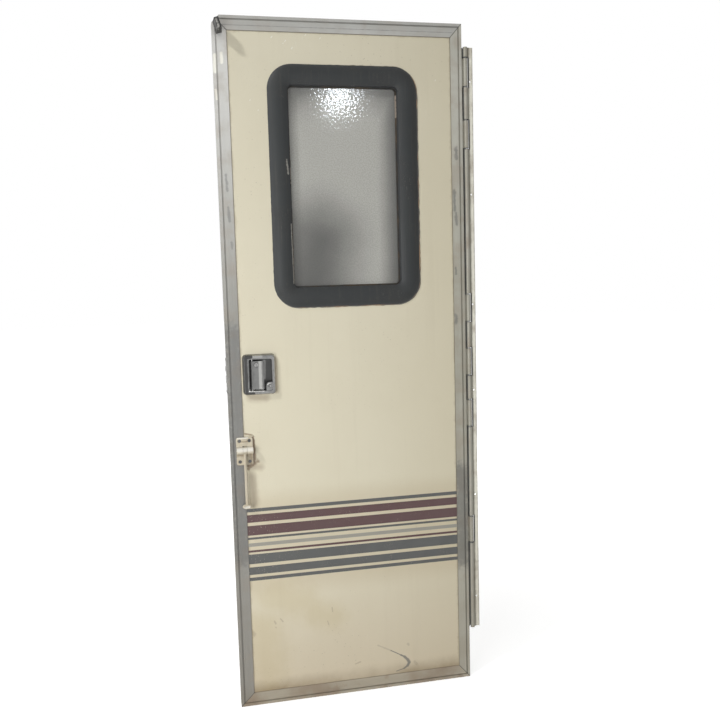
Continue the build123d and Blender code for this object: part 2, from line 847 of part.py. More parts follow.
pieces = {
    "jamb_hinge_leaf": make_jamb_leaf(),
    "hinge_pin": make_hinge_pin(),
    "door_hinge_leaf": make_door_leaf(),
    "frame_top_rail": make_top_rail(),
    "frame_bottom_rail": make_bottom_rail(),
    "frame_latch_stile": make_latch_stile(),
    "frame_hinge_stile": make_hinge_stile(),
    "outer_skin": make_sheet(core_front, skin_thick, False),
    "panel_core": make_sheet(lining_front, core_thick, True),
    "inner_lining": make_sheet(lining_back, lining_thick, False),
    "window_ring": make_window_ring(),
    "window_glass": make_window_glass(),
    "glazing_seal": make_glazing_seal(),
    "window_trim": make_window_trim(),
    "lock_housing": make_lock_housing(),
    "lock_paddle": make_lock_paddle(),
    "paddle_pin": make_paddle_pin(),
    "paddle_key_plug": make_key_plug(
        paddle_key_x,
        paddle_key_z,
        paddle_key_dia,
        paddle_depth - paddle_thick - key_proud,
        paddle_key_length,
    ),
    "bolt_key_plug": make_key_plug(
        bolt_key_x, bolt_key_z, bolt_key_dia, key_boss_depth - key_proud, bolt_key_length
    ),
    "lock_case": make_lock_case(),
    "latch_bolt": make_bolt(latch_z, latch_height),
    "deadbolt": make_bolt(deadbolt_z, deadbolt_height),
    "edge_plate": make_edge_plate(),
    "inner_lock_plate": make_inner_plate(),
    "inner_lever": make_inner_lever(),
    "inner_bolt_knob": make_inner_knob(),
    "holder_base": make_holder_base(),
    "holder_pin": make_holder_pin(),
    "holder_arm": make_holder_arm(),
    "corner_bumper": make_corner_bumper(),
    "hinge_gap_seal": make_hinge_gap_seal(),
    "weather_seal_top": make_weather_strip(edge_plane(-seal_x, half_h, (0, 0, -1)), seal_across),
    "weather_seal_bottom": make_weather_strip(edge_plane(seal_x, -half_h, (0, 0, 1)), seal_across),
    "weather_seal_latch": make_weather_strip(edge_plane(-half_w, -seal_z, (1, 0, 0)), seal_side),
    "weather_seal_hinge": make_weather_strip(edge_plane(half_w, seal_z, (-1, 0, 0)), seal_side),
}

for label, piece in pieces.items():
    finish(piece, label)
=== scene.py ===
# %% [markdown]
# # An old caravan entry door
# This lesson dresses a door whose solids come from a CAD model. The solids are loaded first and never
# moved. We then set the camera, the light, the finishes, and the thin things that CAD leaves out:
# vinyl stripes, beads of sealant and screws. Lengths are metres unless a name ends in `_mm`.

# %% Load the CAD frame
import math

import bmesh
import bpy
from mathutils import Matrix, Quaternion, Vector, noise


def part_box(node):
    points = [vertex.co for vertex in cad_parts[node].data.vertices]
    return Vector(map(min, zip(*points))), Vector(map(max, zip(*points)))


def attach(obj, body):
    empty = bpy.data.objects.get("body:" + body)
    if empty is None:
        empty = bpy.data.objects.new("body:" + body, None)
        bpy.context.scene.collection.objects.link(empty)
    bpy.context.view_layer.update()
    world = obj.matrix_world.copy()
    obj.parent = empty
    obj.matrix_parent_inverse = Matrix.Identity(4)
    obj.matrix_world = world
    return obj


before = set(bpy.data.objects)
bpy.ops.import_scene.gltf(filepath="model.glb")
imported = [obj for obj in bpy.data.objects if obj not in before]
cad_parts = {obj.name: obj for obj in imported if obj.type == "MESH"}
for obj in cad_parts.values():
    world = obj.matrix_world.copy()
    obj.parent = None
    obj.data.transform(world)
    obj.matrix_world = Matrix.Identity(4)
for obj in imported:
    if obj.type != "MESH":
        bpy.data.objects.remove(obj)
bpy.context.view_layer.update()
MM = 0.001

# %% [markdown]
# ## Where things are on the door
# Every later step works in the door's own terms: millimetres right of and above the middle of its
# face. The middle comes from the frame's stiles, so the script follows the CAD if a size changes there.

# %% Measure the door's face
latch_low, latch_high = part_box("frame_latch_stile")
hinge_low, hinge_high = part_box("frame_hinge_stile")
top_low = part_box("frame_top_rail")[0]
bottom_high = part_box("frame_bottom_rail")[1]
mid_x = (latch_low[0] + hinge_high[0]) / 2
mid_z = (hinge_low[2] + hinge_high[2]) / 2
skin_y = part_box("outer_skin")[0][1]
face_y = latch_low[1]
floor_z = hinge_low[2]


def on_door(x_mm, z_mm, proud_mm=0.0):
    """A point of the door's painted face, moved outdoors by proud_mm."""
    return Vector((mid_x + x_mm * MM, skin_y - proud_mm * MM, mid_z + z_mm * MM))


half_w_mm = (hinge_high[0] - mid_x) / MM
half_h_mm = (hinge_high[2] - mid_z) / MM
panel_left_mm = (latch_high[0] - mid_x) / MM
panel_right_mm = (hinge_low[0] - mid_x) / MM
panel_top_mm = (top_low[2] - mid_z) / MM
panel_bottom_mm = (bottom_high[2] - mid_z) / MM
print("painted panel", panel_left_mm, panel_right_mm, panel_bottom_mm, panel_top_mm)

# %% [markdown]
# ## The camera
# The photograph was taken from a little left of the door and above its middle. A camera's place can be
# found by hand, but here the straight edges of the frame gave it: we only state the result, as an
# offset from the door's middle, the point it looks at, and a small roll.

# %% Camera
camera_offset = Vector((-0.437, -2.164, 0.2575))
aim_offset = Vector((0.0284, 0.0, 0.0245))
camera_roll = math.radians(1.58)

camera_data = bpy.data.cameras.new("photo_camera")
camera_data.lens = 41.0
camera_data.sensor_width = 36.0
camera = bpy.data.objects.new("photo_camera", camera_data)
bpy.context.collection.objects.link(camera)
camera.location = on_door(0, 0) + camera_offset
line_of_sight = aim_offset - camera_offset
camera.rotation_mode = "QUATERNION"
camera.rotation_quaternion = line_of_sight.to_track_quat("-Z", "Y") @ Quaternion((0, 0, 1), -camera_roll)
bpy.context.scene.camera = camera
print("camera at", tuple(round(c, 3) for c in camera.location))

# %% [markdown]
# ## A short vocabulary for shader nodes
# Finishes are node trees, and wiring nodes one by one makes long scripts. This small class adds a node
# and returns its output, so that a finish reads like a recipe. Nothing in it is special to the door.

# %% Node vocabulary


class Desk:
    """Adds nodes to one tree. A value may be a socket to wire or a constant to set.

    A colour is three numbers, and put adds the fourth, its opacity."""

    def __init__(self, tree):
        self.tree = tree

    def put(self, socket, value):
        if isinstance(value, bpy.types.NodeSocket):
            self.tree.links.new(value, socket)
        else:
            socket.default_value = (*value, 1.0) if socket.type == "RGBA" else value

    def wire(self, sockets, **values):
        for name, value in values.items():
            self.put(sockets[name.replace("_", " ")], value)

    def node(self, kind, **inputs):
        made = self.tree.nodes.new(kind)
        self.wire(made.inputs, **inputs)
        return made

    def math(self, operation, a, b=0.0, clamp=False):
        made = self.tree.nodes.new("ShaderNodeMath")
        made.operation = operation
        made.use_clamp = clamp
        self.put(made.inputs[0], a)
        self.put(made.inputs[1], b)
        return made.outputs[0]

    def plus(self, a, b):
        return self.math("ADD", a, b)

    def minus(self, a, b):
        return self.math("SUBTRACT", a, b)

    def times(self, a, b):
        return self.math("MULTIPLY", a, b)

    def least(self, a, b):
        return self.math("MINIMUM", a, b)

    def most(self, *masks):
        total = masks[0]
        for mask in masks[1:]:
            total = self.math("MAXIMUM", total, mask)
        return total

    def vector(self, operation, a, b):
        made = self.tree.nodes.new("ShaderNodeVectorMath")
        made.operation = operation
        self.put(made.inputs[0], a)
        self.put(made.inputs[1], b)
        return made.outputs["Value"] if operation in ("LENGTH", "DOT_PRODUCT") else made.outputs[0]

    def here(self):
        return self.tree.nodes.new("ShaderNodeTexCoord").outputs["Object"]

    def axes(self, vector):
        return self.node("ShaderNodeSeparateXYZ", Vector=vector).outputs

    def stretch(self, vector, x, y, z):
        return self.node("ShaderNodeMapping", Vector=vector, Scale=(x, y, z)).outputs[0]

    def fade(self, value, start, end):
        made = self.node("ShaderNodeMapRange", Value=value, From_Min=start, From_Max=end)
        made.interpolation_type = "SMOOTHSTEP"
        return made.outputs["Result"]

    def span(self, value, low, high):
        return self.node("ShaderNodeMapRange", Value=value, To_Min=low, To_Max=high).outputs["Result"]

    def noise(self, vector, scale, detail=3.0, roughness=0.55, distortion=0.0):
        grain = {"Detail": detail, "Roughness": roughness, "Distortion": distortion}
        return self.node("ShaderNodeTexNoise", Vector=vector, Scale=scale, **grain).outputs[0]

    def cells(self, vector, scale):
        return self.node("ShaderNodeTexVoronoi", Vector=vector, Scale=scale).outputs["Distance"]

    def mix(self, factor, a, b):
        made = self.tree.nodes.new("ShaderNodeMix")
        made.data_type = "RGBA"
        self.put(made.inputs[0], factor)
        self.put(made.inputs[6], a)
        self.put(made.inputs[7], b)
        return made.outputs[2]

    def cover(self, base, mask, level, colour):
        """Lay a colour over the base where the mask is 1, as thickly as the level says."""
        return self.mix(self.times(mask, level), base, colour)

    def layers(self, base, *rows):
        """Cover the base in turn. Each row is a mask, a level and a colour."""
        for row in rows:
            base = self.cover(base, *row)
        return base

    def bump(self, height, strength, distance, normal=None):
        made = self.node("ShaderNodeBump", Height=height, Strength=strength, Distance=distance)
        if normal is not None:
            self.put(made.inputs["Normal"], normal)
        return made.outputs[0]

    def group(self, tree, **inputs):
        made = self.tree.nodes.new("ShaderNodeGroup")
        made.node_tree = tree
        self.wire(made.inputs, **inputs)
        return made.outputs


def new_group(name, inputs, outputs):
    """A shader node group with named sockets, the desk to wire it on, and its two ends."""
    tree = bpy.data.node_groups.new(name, "ShaderNodeTree")
    for socket, kind in inputs:
        tree.interface.new_socket(socket, in_out="INPUT", socket_type=kind)
    for socket in outputs:
        tree.interface.new_socket(socket, in_out="OUTPUT", socket_type="NodeSocketFloat")
    given = tree.nodes.new("NodeGroupInput").outputs
    out = tree.nodes.new("NodeGroupOutput").inputs
    return tree, Desk(tree), given, out


def new_finish(name):
    """A material, the desk for its tree, the inputs of its Principled shader, and the shaded place."""
    material = bpy.data.materials.new(name)
    material.use_nodes = True
    desk = Desk(material.node_tree)
    return material, desk, desk.tree.nodes["Principled BSDF"].inputs, desk.here()


def grey(level, warm=0.0):
    """A near-grey colour, yellower where warm is above zero."""
    return (level * (1 + 0.4 * warm), level, level * (1 - 2 * warm))


print("node vocabulary ready")

# %% [markdown]
# ## Light
# One lamp high on the left grazes the door and throws its shadows to the lower right. A wide soft lamp
# nearer the door makes the left middle the brightest part. A small bluish lamp is there for its gleam
# in the window glass alone, so dull surfaces don't see it. A big soft lamp behind the door lights its
# indoor side and stays hidden from the glass. Powers are set so that a colour comes out about as it is
# written.

# %% Lamps
bpy.context.scene.view_settings.view_transform = "Standard"


def add_lamp(name, offset, aim, size, power):
    """A square soft lamp at an offset from the door's middle, aimed at another such offset."""
    lamp_data = bpy.data.lights.new(name, "AREA")
    lamp_data.energy = power
    lamp_data.size = size
    lamp = bpy.data.objects.new(name, lamp_data)
    bpy.context.collection.objects.link(lamp)
    lamp.location = on_door(0, 0) + Vector(offset)
    lamp.rotation_euler = (Vector(aim) - Vector(offset)).to_track_quat("-Z", "Y").to_euler()
    return lamp


key_lamp = add_lamp("key_lamp", (-5.35, -3.8, 5.4), (0, 0, 0), size=0.5, power=255.0)
front_lamp = add_lamp("front_lamp", (-1.2, -1.6, 0.0), (-0.1, 0, 0), size=1.1, power=20.0)
gleam_lamp = add_lamp("gleam_lamp", (0.43, -2.17, 1.19), (0.0, 0, 0.71), size=0.11, power=1.8)
gleam_lamp.data.color = (0.84, 0.92, 1.0)
gleam_lamp.visible_diffuse = False
back_lamp = add_lamp("back_lamp", (0.9, 3.4, 1.4), (0, 0, 0), size=2.4, power=60.0)
back_lamp.visible_transmission = False
print("lamps", key_lamp.name, front_lamp.name, gleam_lamp.name, back_lamp.name)

# %% [markdown]
# ## Background and floor
# The background is white to the camera, to mirrors and through glass, but as a light it is dimmer, so
# that shading stays. The Light Path node tells these rays apart. The floor does the same: it adds a
# plain glow for the eye, stronger away from the door, and keeps the door's soft shadow near its foot.

# %% World and floor
fill_strength = 0.15


def eye_rays(desk):
    """1 for camera, mirror and glass rays, 0 for the rays that light things."""
    path = desk.tree.nodes.new("ShaderNodeLightPath").outputs
    return desk.most(path["Is Camera Ray"], path["Is Glossy Ray"], path["Is Transmission Ray"])


world = bpy.data.worlds.new("studio")
bpy.context.scene.world = world
world.use_nodes = True
desk = Desk(world.node_tree)
backdrop = world.node_tree.nodes["Background"].inputs
white = (1.0, 1.0, 1.0)
desk.wire(backdrop, Color=white, Strength=desk.span(eye_rays(desk), fill_strength, 1.0))

floor_finish, desk, shader, place = new_finish("floor_finish")
desk.wire(shader, Base_Color=(0.88, 0.88, 0.87), Roughness=0.9, Specular_IOR_Level=0.0)
foot_of_door = (mid_x, 0.0, floor_z)
away = desk.vector("LENGTH", desk.vector("SUBTRACT", place, foot_of_door), (0, 0, 0))
glow = desk.span(desk.fade(away, 0.5, 3.0), 0.62, 1.0)
desk.wire(shader, Emission_Color=white, Emission_Strength=desk.times(glow, eye_rays(desk)))

floor_shape = bmesh.new()
bmesh.ops.create_circle(floor_shape, cap_ends=True, segments=64, radius=20.0)
bmesh.ops.translate(floor_shape, verts=floor_shape.verts, vec=(mid_x, 0, floor_z - 2 * MM))
floor_mesh = bpy.data.meshes.new("studio_floor")
floor_shape.to_mesh(floor_mesh)
floor_shape.free()
floor_mesh.materials.append(floor_finish)
studio_floor = bpy.data.objects.new("studio_floor", floor_mesh)
bpy.context.collection.objects.link(studio_floor)
print("background white, fill", fill_strength)

# %% [markdown]
# ## Shared ageing effects
# Old paint, metal and plastic age in the same few ways: broad blotches, fine specks, runs that water
# leaves, and thin scratches. One node group gives all four as masks, and each finish decides what to
# do with them.

# %% Ageing group
ageing, desk, given, out = new_group(
    "ageing",
    (("Scale", "NodeSocketFloat"), ("Shift", "NodeSocketVector")),
    ("Blotch", "Speck", "Run", "Scratch"),
)
place = desk.vector("ADD", desk.here(), given["Shift"])
desk.put(out["Blotch"], desk.fade(desk.noise(place, given["Scale"], 5.0, 0.6), 0.42, 0.68))
specks = desk.fade(desk.cells(place, desk.times(given["Scale"], 28.0)), 0.16, 0.06)
speck_patch = desk.fade(desk.noise(place, given["Scale"], 2.0), 0.5, 0.66)
desk.put(out["Speck"], desk.times(specks, speck_patch))
run_noise = desk.noise(desk.stretch(place, 1.0, 1.0, 0.045), desk.times(given["Scale"], 9.0), 4.0, 0.6)
desk.put(out["Run"], desk.fade(run_noise, 0.52, 0.72))
fine = desk.noise(desk.stretch(place, 1.0, 1.0, 0.07), desk.times(given["Scale"], 60.0), 2.0, 0.5, 0.4)
scratch_patch = desk.fade(desk.noise(place, given["Scale"], 3.0), 0.5, 0.62)
desk.put(out["Scratch"], desk.times(desk.fade(fine, 0.66, 0.74), scratch_patch))
print("group", ageing.name)

# %% [markdown]
# ## Marks at chosen places
# Some marks on this door have a place: a scuff near the foot, a stain, dirt lines at the mitres. A mark
# is a stroke between two points. Its mask is the distance to that line, roughened by noise, and since
# the distance ignores depth the same group serves paint, metal and film. A short stroke is a stain.

# %% Stroke group
stroke, desk, given, out = new_group(
    "stroke",
    (
        ("Start", "NodeSocketVector"),
        ("End", "NodeSocketVector"),
        ("Width", "NodeSocketFloat"),
        ("Ragged", "NodeSocketFloat"),
        ("Grain", "NodeSocketFloat"),
        ("Core", "NodeSocketFloat"),
    ),
    ("Mask",),
)
place = desk.here()
on_face = desk.stretch(place, 1.0, 0.0, 1.0)
from_start = desk.vector("SUBTRACT", on_face, given["Start"])
along = desk.vector("SUBTRACT", given["End"], given["Start"])
length_squared = desk.vector("DOT_PRODUCT", along, along)
share = desk.math("DIVIDE", desk.vector("DOT_PRODUCT", from_start, along), length_squared, True)
nearest = desk.tree.nodes.new("ShaderNodeVectorMath")
nearest.operation = "SCALE"
desk.put(nearest.inputs[0], along)
desk.put(nearest.inputs["Scale"], share)
gap = desk.vector("LENGTH", desk.vector("SUBTRACT", from_start, nearest.outputs[0]), (0, 0, 0))
edge_noise = desk.minus(desk.noise(place, given["Grain"], 4.0, 0.65), 0.5)
ragged = desk.times(edge_noise, given["Ragged"])
reach = desk.plus(desk.math("DIVIDE", gap, given["Width"]), ragged)
desk.put(out["Mask"], desk.fade(reach, 1.0, given["Core"]))


def strokes(desk, marks, ragged=1.0, grain=110.0, core=0.35):
    """One mask for strokes given as x, z, x, z and half width, in millimetres on the door.

    A core of 0.35 gives a firm mark, and a core near 0 a soft one that fades from its middle."""
    masks = []
    for x0, z0, x1, z1, width_mm in marks:
        start = on_door(x0, z0) * Vector((1, 0, 1))
        end = on_door(x1, z1) * Vector((1, 0, 1))
        edge = {"Ragged": ragged, "Grain": grain, "Core": core}
        mark = desk.group(stroke, Start=start, End=end, Width=width_mm * MM, **edge)
        masks.append(mark["Mask"])
    return desk.most(*masks)


print("group", stroke.name)

# %% [markdown]
# ## Cream paint
# The outdoor skin is a sheet with cream paint, yellowed with age and dirtier towards the foot. We start
# from one cream, shift it with broad noise, then lay brown film, runs, specks and the placed marks over
# it. Towards the hinge side it is darker as well as yellower, with painted shade. Soft painted shadow
# lies below and beside the lock and the hold-back, and the cream is darker round the stripes. A very low
# bump gives the slow waves of a thin glued sheet and the fine ripple of brushed paint.

# %% Cream paint: tones and film


def mm_from(desk, position, middle):
    """A position along one axis as millimetres from the door's middle on that axis."""
    return desk.times(desk.minus(position, middle), 1.0 / MM)


cream_paint, desk, shader, place = new_finish("cream_paint")
x_mm = mm_from(desk, desk.axes(place)["X"], mid_x)
z_mm = mm_from(desk, desk.axes(place)["Z"], mid_z)
age = desk.group(ageing, Scale=3.2, Shift=(1.7, 0.0, 0.4))
close_age = desk.group(ageing, Scale=9.0, Shift=(0.2, 0.0, 2.1))
cream = desk.mix(desk.noise(place, 2.2, 3.0), (0.765, 0.715, 0.560), (0.735, 0.680, 0.515))
film_top_mm = -430.0
low_film = desk.fade(z_mm, film_top_mm, -930.0)
stripe_mid_mm = -462.2
from_stripes = desk.math("ABSOLUTE", desk.minus(z_mm, stripe_mid_mm))
up_high = desk.fade(z_mm, 620.0, 860.0)
cream = desk.layers(
    cream,
    (low_film, 0.55, (0.60, 0.49, 0.355)),
    # Darker and yellower towards the hinge side: yellowing, with painted shade where the light falls off.
    (desk.fade(x_mm, 0.0, 330.0), 0.24, (0.58, 0.50, 0.32)),
    (age["Run"], 0.06, (0.44, 0.37, 0.25)),
    (age["Blotch"], 0.08, (0.52, 0.45, 0.31)),
    (desk.most(age["Speck"], close_age["Speck"]), 0.35, (0.24, 0.20, 0.14)),
    (desk.fade(from_stripes, 165.0, 98.0), 0.34, (0.50, 0.40, 0.25)),
    (close_age["Scratch"], desk.span(up_high, 0.12, 0.5), (0.86, 0.84, 0.76)),
)
print("cream tones, yellower to the right and browner below", film_top_mm, "mm")

# %% Cream paint: dirt along the frame
to_side = desk.least(desk.minus(x_mm, panel_left_mm), desk.minus(panel_right_mm, x_mm))
to_foot = desk.minus(z_mm, panel_bottom_mm)
to_end = desk.least(to_foot, desk.minus(panel_top_mm, z_mm))
wander = desk.times(desk.minus(desk.noise(place, 30.0, 4.0, 0.65), 0.5), 16.0)
to_frame = desk.least(to_side, to_end)
frame_dirt = desk.times(desk.fade(desk.plus(to_frame, wander), 7.0, -2.0), 0.45)
foot_dirt = desk.fade(desk.plus(to_foot, wander), 42.0, -4.0)
foot_dirt = desk.times(foot_dirt, desk.span(age["Blotch"], 0.35, 0.9))
cream = desk.mix(desk.most(frame_dirt, foot_dirt), cream, (0.30, 0.225, 0.135))
seam = desk.fade(to_frame, 2.0, 0.6)
cream = desk.cover(cream, seam, desk.span(low_film, 0.75, 0.3), (0.09, 0.075, 0.055))
print("dirt along the frame and at the foot")

# %% Cream paint: stains, drips, and painted shadow by the lock and hold-back
stain_marks = (
    (-226, -612, -160, -636, 84),
    (-120, -668, -72, -690, 66),
    (-262, -700, -250, -820, 92),
)
stains = strokes(desk, stain_marks, ragged=0.9, grain=24.0, core=0.04)
cream = desk.cover(cream, stains, 0.28, (0.52, 0.42, 0.20))
drip_marks = (
    (-231, -682, -228, -690, 2.6),
    (-228, -700, -227, -702, 2.4),
    (-214, -678, -208, -686, 2.4),
    (-70, -662, -69, -674, 2.0),
    (-84, -700, -80, -712, 1.8),
    (-300, -700, -288, -712, 9.0),
    (-8, -834, 6, -830, 2.4),
)
drips = strokes(desk, drip_marks, ragged=2.2)
smear_marks = (
    (-290, -157, -271, -162, 3.6),
    (-268, -164, -264, -228, 3.4),
    (-260, -234, -284, -252, 9),
)
smear = strokes(desk, smear_marks, ragged=2.0, grain=120.0, core=0.1)
# Painted shadow: soft strokes below and right of the lock, and right of and under the hold-back's base and
# arm.
painted_shadow_marks = (
    (-270, -60, -232, -63, 20),
    (-202, 38, -200, -48, 10),
    (-270, -246, -252, -250, 17),
    (-276, -276, -272, -345, 22),
)
painted_shadow = strokes(desk, painted_shadow_marks, ragged=0.5, grain=60.0, core=0.02)
placed_dirt_and_shadow = desk.most(desk.times(smear, 0.8), desk.times(drips, 0.32), desk.times(painted_shadow, 0.42))
cream = desk.mix(placed_dirt_and_shadow, cream, (0.25, 0.17, 0.10))
print("stains", len(stain_marks), "drips", len(drip_marks))

# %% Cream paint: scuffs and nicks
thick_scuff = (
    (124, -825, 136, -832, 3.4),
    (134, -831, 144, -841, 5.2),
    (143, -840, 148, -850, 6.2),
    (148, -850, 143, -859, 5.6),
    (143, -859, 132, -866, 3.6),
)
thin_scuff = ((95, -808, 126, -826, 1.9), (132, -866, 110, -871, 1.8))
scuff = strokes(desk, thick_scuff + thin_scuff, ragged=0.4, grain=160.0)
cream = desk.cover(cream, scuff, 0.80, (0.135, 0.135, 0.132))
faint_scuff = ((58, -788, 95, -808, 3.0), (164, -850, 170, -858, 5.0), (145, -795, 146, -797, 5.0))
cream = desk.cover(cream, strokes(desk, faint_scuff, ragged=1.6), 0.3, (0.30, 0.25, 0.18))
nicks = (
    (-181, 863, -178, 867, 1.5),
    (-146, 854, -144, 858, 1.4),
    (-151, 849, -150, 851, 1.3),
    (-129, 837, -127, 841, 1.5),
    (-93, 871, -91, 874, 1.3),
    (-55, 864, -53, 867, 1.3),
    (-241, 705, -240, 708, 1.3),
    (-221, 681, -220, 683, 1.3),
    (255, 765, 256, 768, 1.3),
)
cream = desk.cover(cream, strokes(desk, nicks, grain=200.0), 0.75, (0.93, 0.91, 0.84))
print("scuff strokes", len(thick_scuff + thin_scuff + faint_scuff), "nicks", len(nicks))

# %% Cream paint: gloss and relief
gloss = desk.plus(desk.span(age["Blotch"], 0.34, 0.44), desk.times(foot_dirt, 0.3))
waves = desk.bump(desk.noise(place, 7.0, 2.0), 0.22, 0.004)
ripples = desk.bump(desk.noise(desk.stretch(place, 1.0, 1.0, 0.3), 260.0, 3.0), 0.05, 0.0006, waves)
desk.wire(shader, Base_Color=cream, Roughness=gloss, Normal=ripples)
desk.wire(shader, Coat_Weight=0.15, Coat_Roughness=0.25)
print("finish", cream_paint.name)

# %% [markdown]
# ## Weathered aluminium
# The frame and hinge are drawn aluminium that has gone dull. Drawn metal has fine lines along its
# length, so the noise is stretched along each piece: upright on the stiles, level on the rails. Dirt
# sits in the groove, which the depth of a point finds, and at the mitres. Strokes place darker rubs and
# lines of painted shade, and paler painted glare; the stiles carry a painted sheen high up.

# %% Aluminium
groove_top = face_y + 0.7 * MM
groove_floor = face_y + 2.4 * MM
joint_mm = 1.3
mitre_marks = (
    (-half_w_mm, half_h_mm, panel_left_mm, panel_top_mm, joint_mm),
    (half_w_mm, half_h_mm, panel_right_mm, panel_top_mm, joint_mm),
    (-half_w_mm, -half_h_mm, panel_left_mm, panel_bottom_mm, joint_mm),
    (half_w_mm, -half_h_mm, panel_right_mm, panel_bottom_mm, joint_mm),
)


def aluminium(
    name, level, warm, upright, dirt_level, rubs_and_shade=(), rub_and_shade_level=0.5, ragged=2.0,
    top_sheen=0.0, pale=(), groove_level=0.3, rough=0.36,
):
    """Dull drawn metal: lines along its length, blotches, brown dirt, and dark strokes at chosen places:
    rubs of dirt and lines of painted shade.

    It is paler high up by top_sheen, a painted sheen, and along the pale strokes, which paint glare on
    the latch stile and a paler band down the jamb leaf."""
    material, desk, shader, place = new_finish(name)
    depth = desk.axes(place)["Y"]
    z_mm = mm_from(desk, desk.axes(place)["Z"], mid_z)
    drawn = desk.stretch(place, 1, 1, 0.02) if upright else desk.stretch(place, 0.02, 1, 1)
    lines = desk.noise(drawn, 900.0, 3.0, 0.6)
    bands = desk.noise(drawn, 60.0, 3.0, 0.6)
    age = desk.group(ageing, Scale=7.0, Shift=(0.3, 1.1, 0.7))
    close_age = desk.group(ageing, Scale=22.0, Shift=(1.3, 0.1, 0.2))
    metal = desk.mix(bands, grey(level * 0.84, warm), grey(level * 1.14, warm))
    metal = desk.layers(
        metal,
        (age["Blotch"], 0.3, grey(level * 0.66, warm + 0.04)),
        (close_age["Scratch"], 0.35, grey(level * 1.5, warm)),
        (close_age["Speck"], 0.7, grey(0.04, 0.2)),
        # Paler towards the top: a painted sheen where the metal catches the light.
        (desk.fade(z_mm, 60.0, 860.0), top_sheen, grey(0.72, 0.02)),
    )
    if pale:
        paler = strokes(desk, pale, ragged=0.8, grain=90.0, core=0.3)
        metal = desk.cover(metal, paler, 0.6, grey(0.85, 0.06))
    low = desk.times(desk.fade(z_mm, -250.0, -915.0), desk.span(age["Blotch"], 0.5, 1.0))
    dirt = desk.times(desk.most(low, close_age["Blotch"]), dirt_level)
    metal = desk.mix(dirt, metal, (0.28, 0.215, 0.155))
    below_face = desk.fade(depth, groove_top, groove_floor)
    in_groove = desk.times(below_face, desk.fade(depth, groove_floor + MM, groove_floor))
    at_mitres = desk.times(strokes(desk, mitre_marks, ragged=0.8), 0.8)
    lines_of_dirt = desk.most(at_mitres, desk.times(in_groove, groove_level))
    metal = desk.mix(lines_of_dirt, metal, (0.055, 0.05, 0.042))
    dull = desk.most(dirt, lines_of_dirt)
    # The dark strokes are rubs of dirt, and lines of painted shade along the top rail and the hinge's gaps.
    if rubs_and_shade:
        dark_rub_and_shade = desk.times(strokes(desk, rubs_and_shade, ragged, grain=90.0, core=0.15), rub_and_shade_level)
        metal = desk.mix(dark_rub_and_shade, metal, (0.075, 0.08, 0.088))
        dull = desk.most(dull, dark_rub_and_shade)
    gloss = desk.plus(desk.span(lines, rough, rough + 0.18), desk.times(dull, 0.25))
    desk.wire(shader, Base_Color=metal, Metallic=desk.span(dull, 0.8, 0.2), Roughness=gloss)
    desk.wire(shader, Normal=desk.bump(lines, 0.25, 0.0003))
    return material


print("aluminium recipe ready, groove", round((groove_floor - groove_top) / MM, 1), "mm deep")

# %% Metals of the frame
hinge_rubs = (
    (310, 590, 312, 560, 7),
    (303, 477, 305, 424, 6),
    (308, 414, 309, 384, 6),
    (305, 266, 305, 249, 4),
    (304, 136, 304, 117, 7),
    (313, -310, 314, -560, 42),
)
latch_rubs = (
    (-310, 520, -308, 478, 5),
    (-308, 436, -306, 402, 5),
    (-303, 346, -302, 330, 5),
    (-308, 110, -306, -490, 46),
)
# A thin dark line of painted shade runs along the top rail, 24 mm below its top edge.
line_mm = half_h_mm - 24
top_rail_shade_line = ((-half_w_mm + 26, line_mm, half_w_mm - 26, line_mm, joint_mm),)
glare = ((-325, 815, -326, 775, 7), (-309, 820, -308, 798, 6), (-326, 730, -324, 708, 4))
latch_metal = aluminium(
    "latch_metal", level=0.235, warm=0.04, upright=True, dirt_level=0.24,
    rubs_and_shade=latch_rubs, rub_and_shade_level=0.36, top_sheen=0.6, pale=glare,
)
top_rail_metal = aluminium(
    "top_rail_metal", level=0.37, warm=0.03, upright=False, dirt_level=0.16, rubs_and_shade=top_rail_shade_line, rub_and_shade_level=0.35
)
bottom_rail_metal = aluminium(
    "bottom_rail_metal", level=0.40, warm=0.09, upright=False, dirt_level=0.85, groove_level=0.15
)
hinge_stile_metal = aluminium(
    "hinge_stile_metal", level=0.33, warm=0.075, upright=True, dirt_level=0.25,
    rubs_and_shade=hinge_rubs, rub_and_shade_level=0.45, top_sheen=0.15,
)
print("finishes", latch_metal.name, top_rail_metal.name, bottom_rail_metal.name, hinge_stile_metal.name)

# %% [markdown]
# ## Hinge metal
# The hinge is the same dull metal. Dark lines of painted shade, with grease and dirt in them, run where its
# two leaves part: to the left of the jamb leaf's knuckles, to the right of the door leaf's, and between
# each pair. A pale stroke runs down the flat of the jamb leaf.

# %% Hinge metal


def sides_mm(box):
    """The left, right, foot and head of a CAD box, in millimetres from the door's middle."""
    left_mm, right_mm = [(corner[0] - mid_x) / MM for corner in box]
    foot_mm, head_mm = [(corner[2] - mid_z) / MM for corner in box]
    return left_mm, right_mm, foot_mm, head_mm


pin_left_mm, pin_right_mm, hinge_foot_mm, hinge_head_mm = sides_mm(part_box("hinge_pin"))
pin_mm = (pin_left_mm + pin_right_mm) / 2
barrel_left_mm = pin_mm - 6.3
barrel_right_mm = pin_mm + 9.2
half_knuckle_mm = 38.0
side_line_mm = 1.6
end_line_mm = 3.2
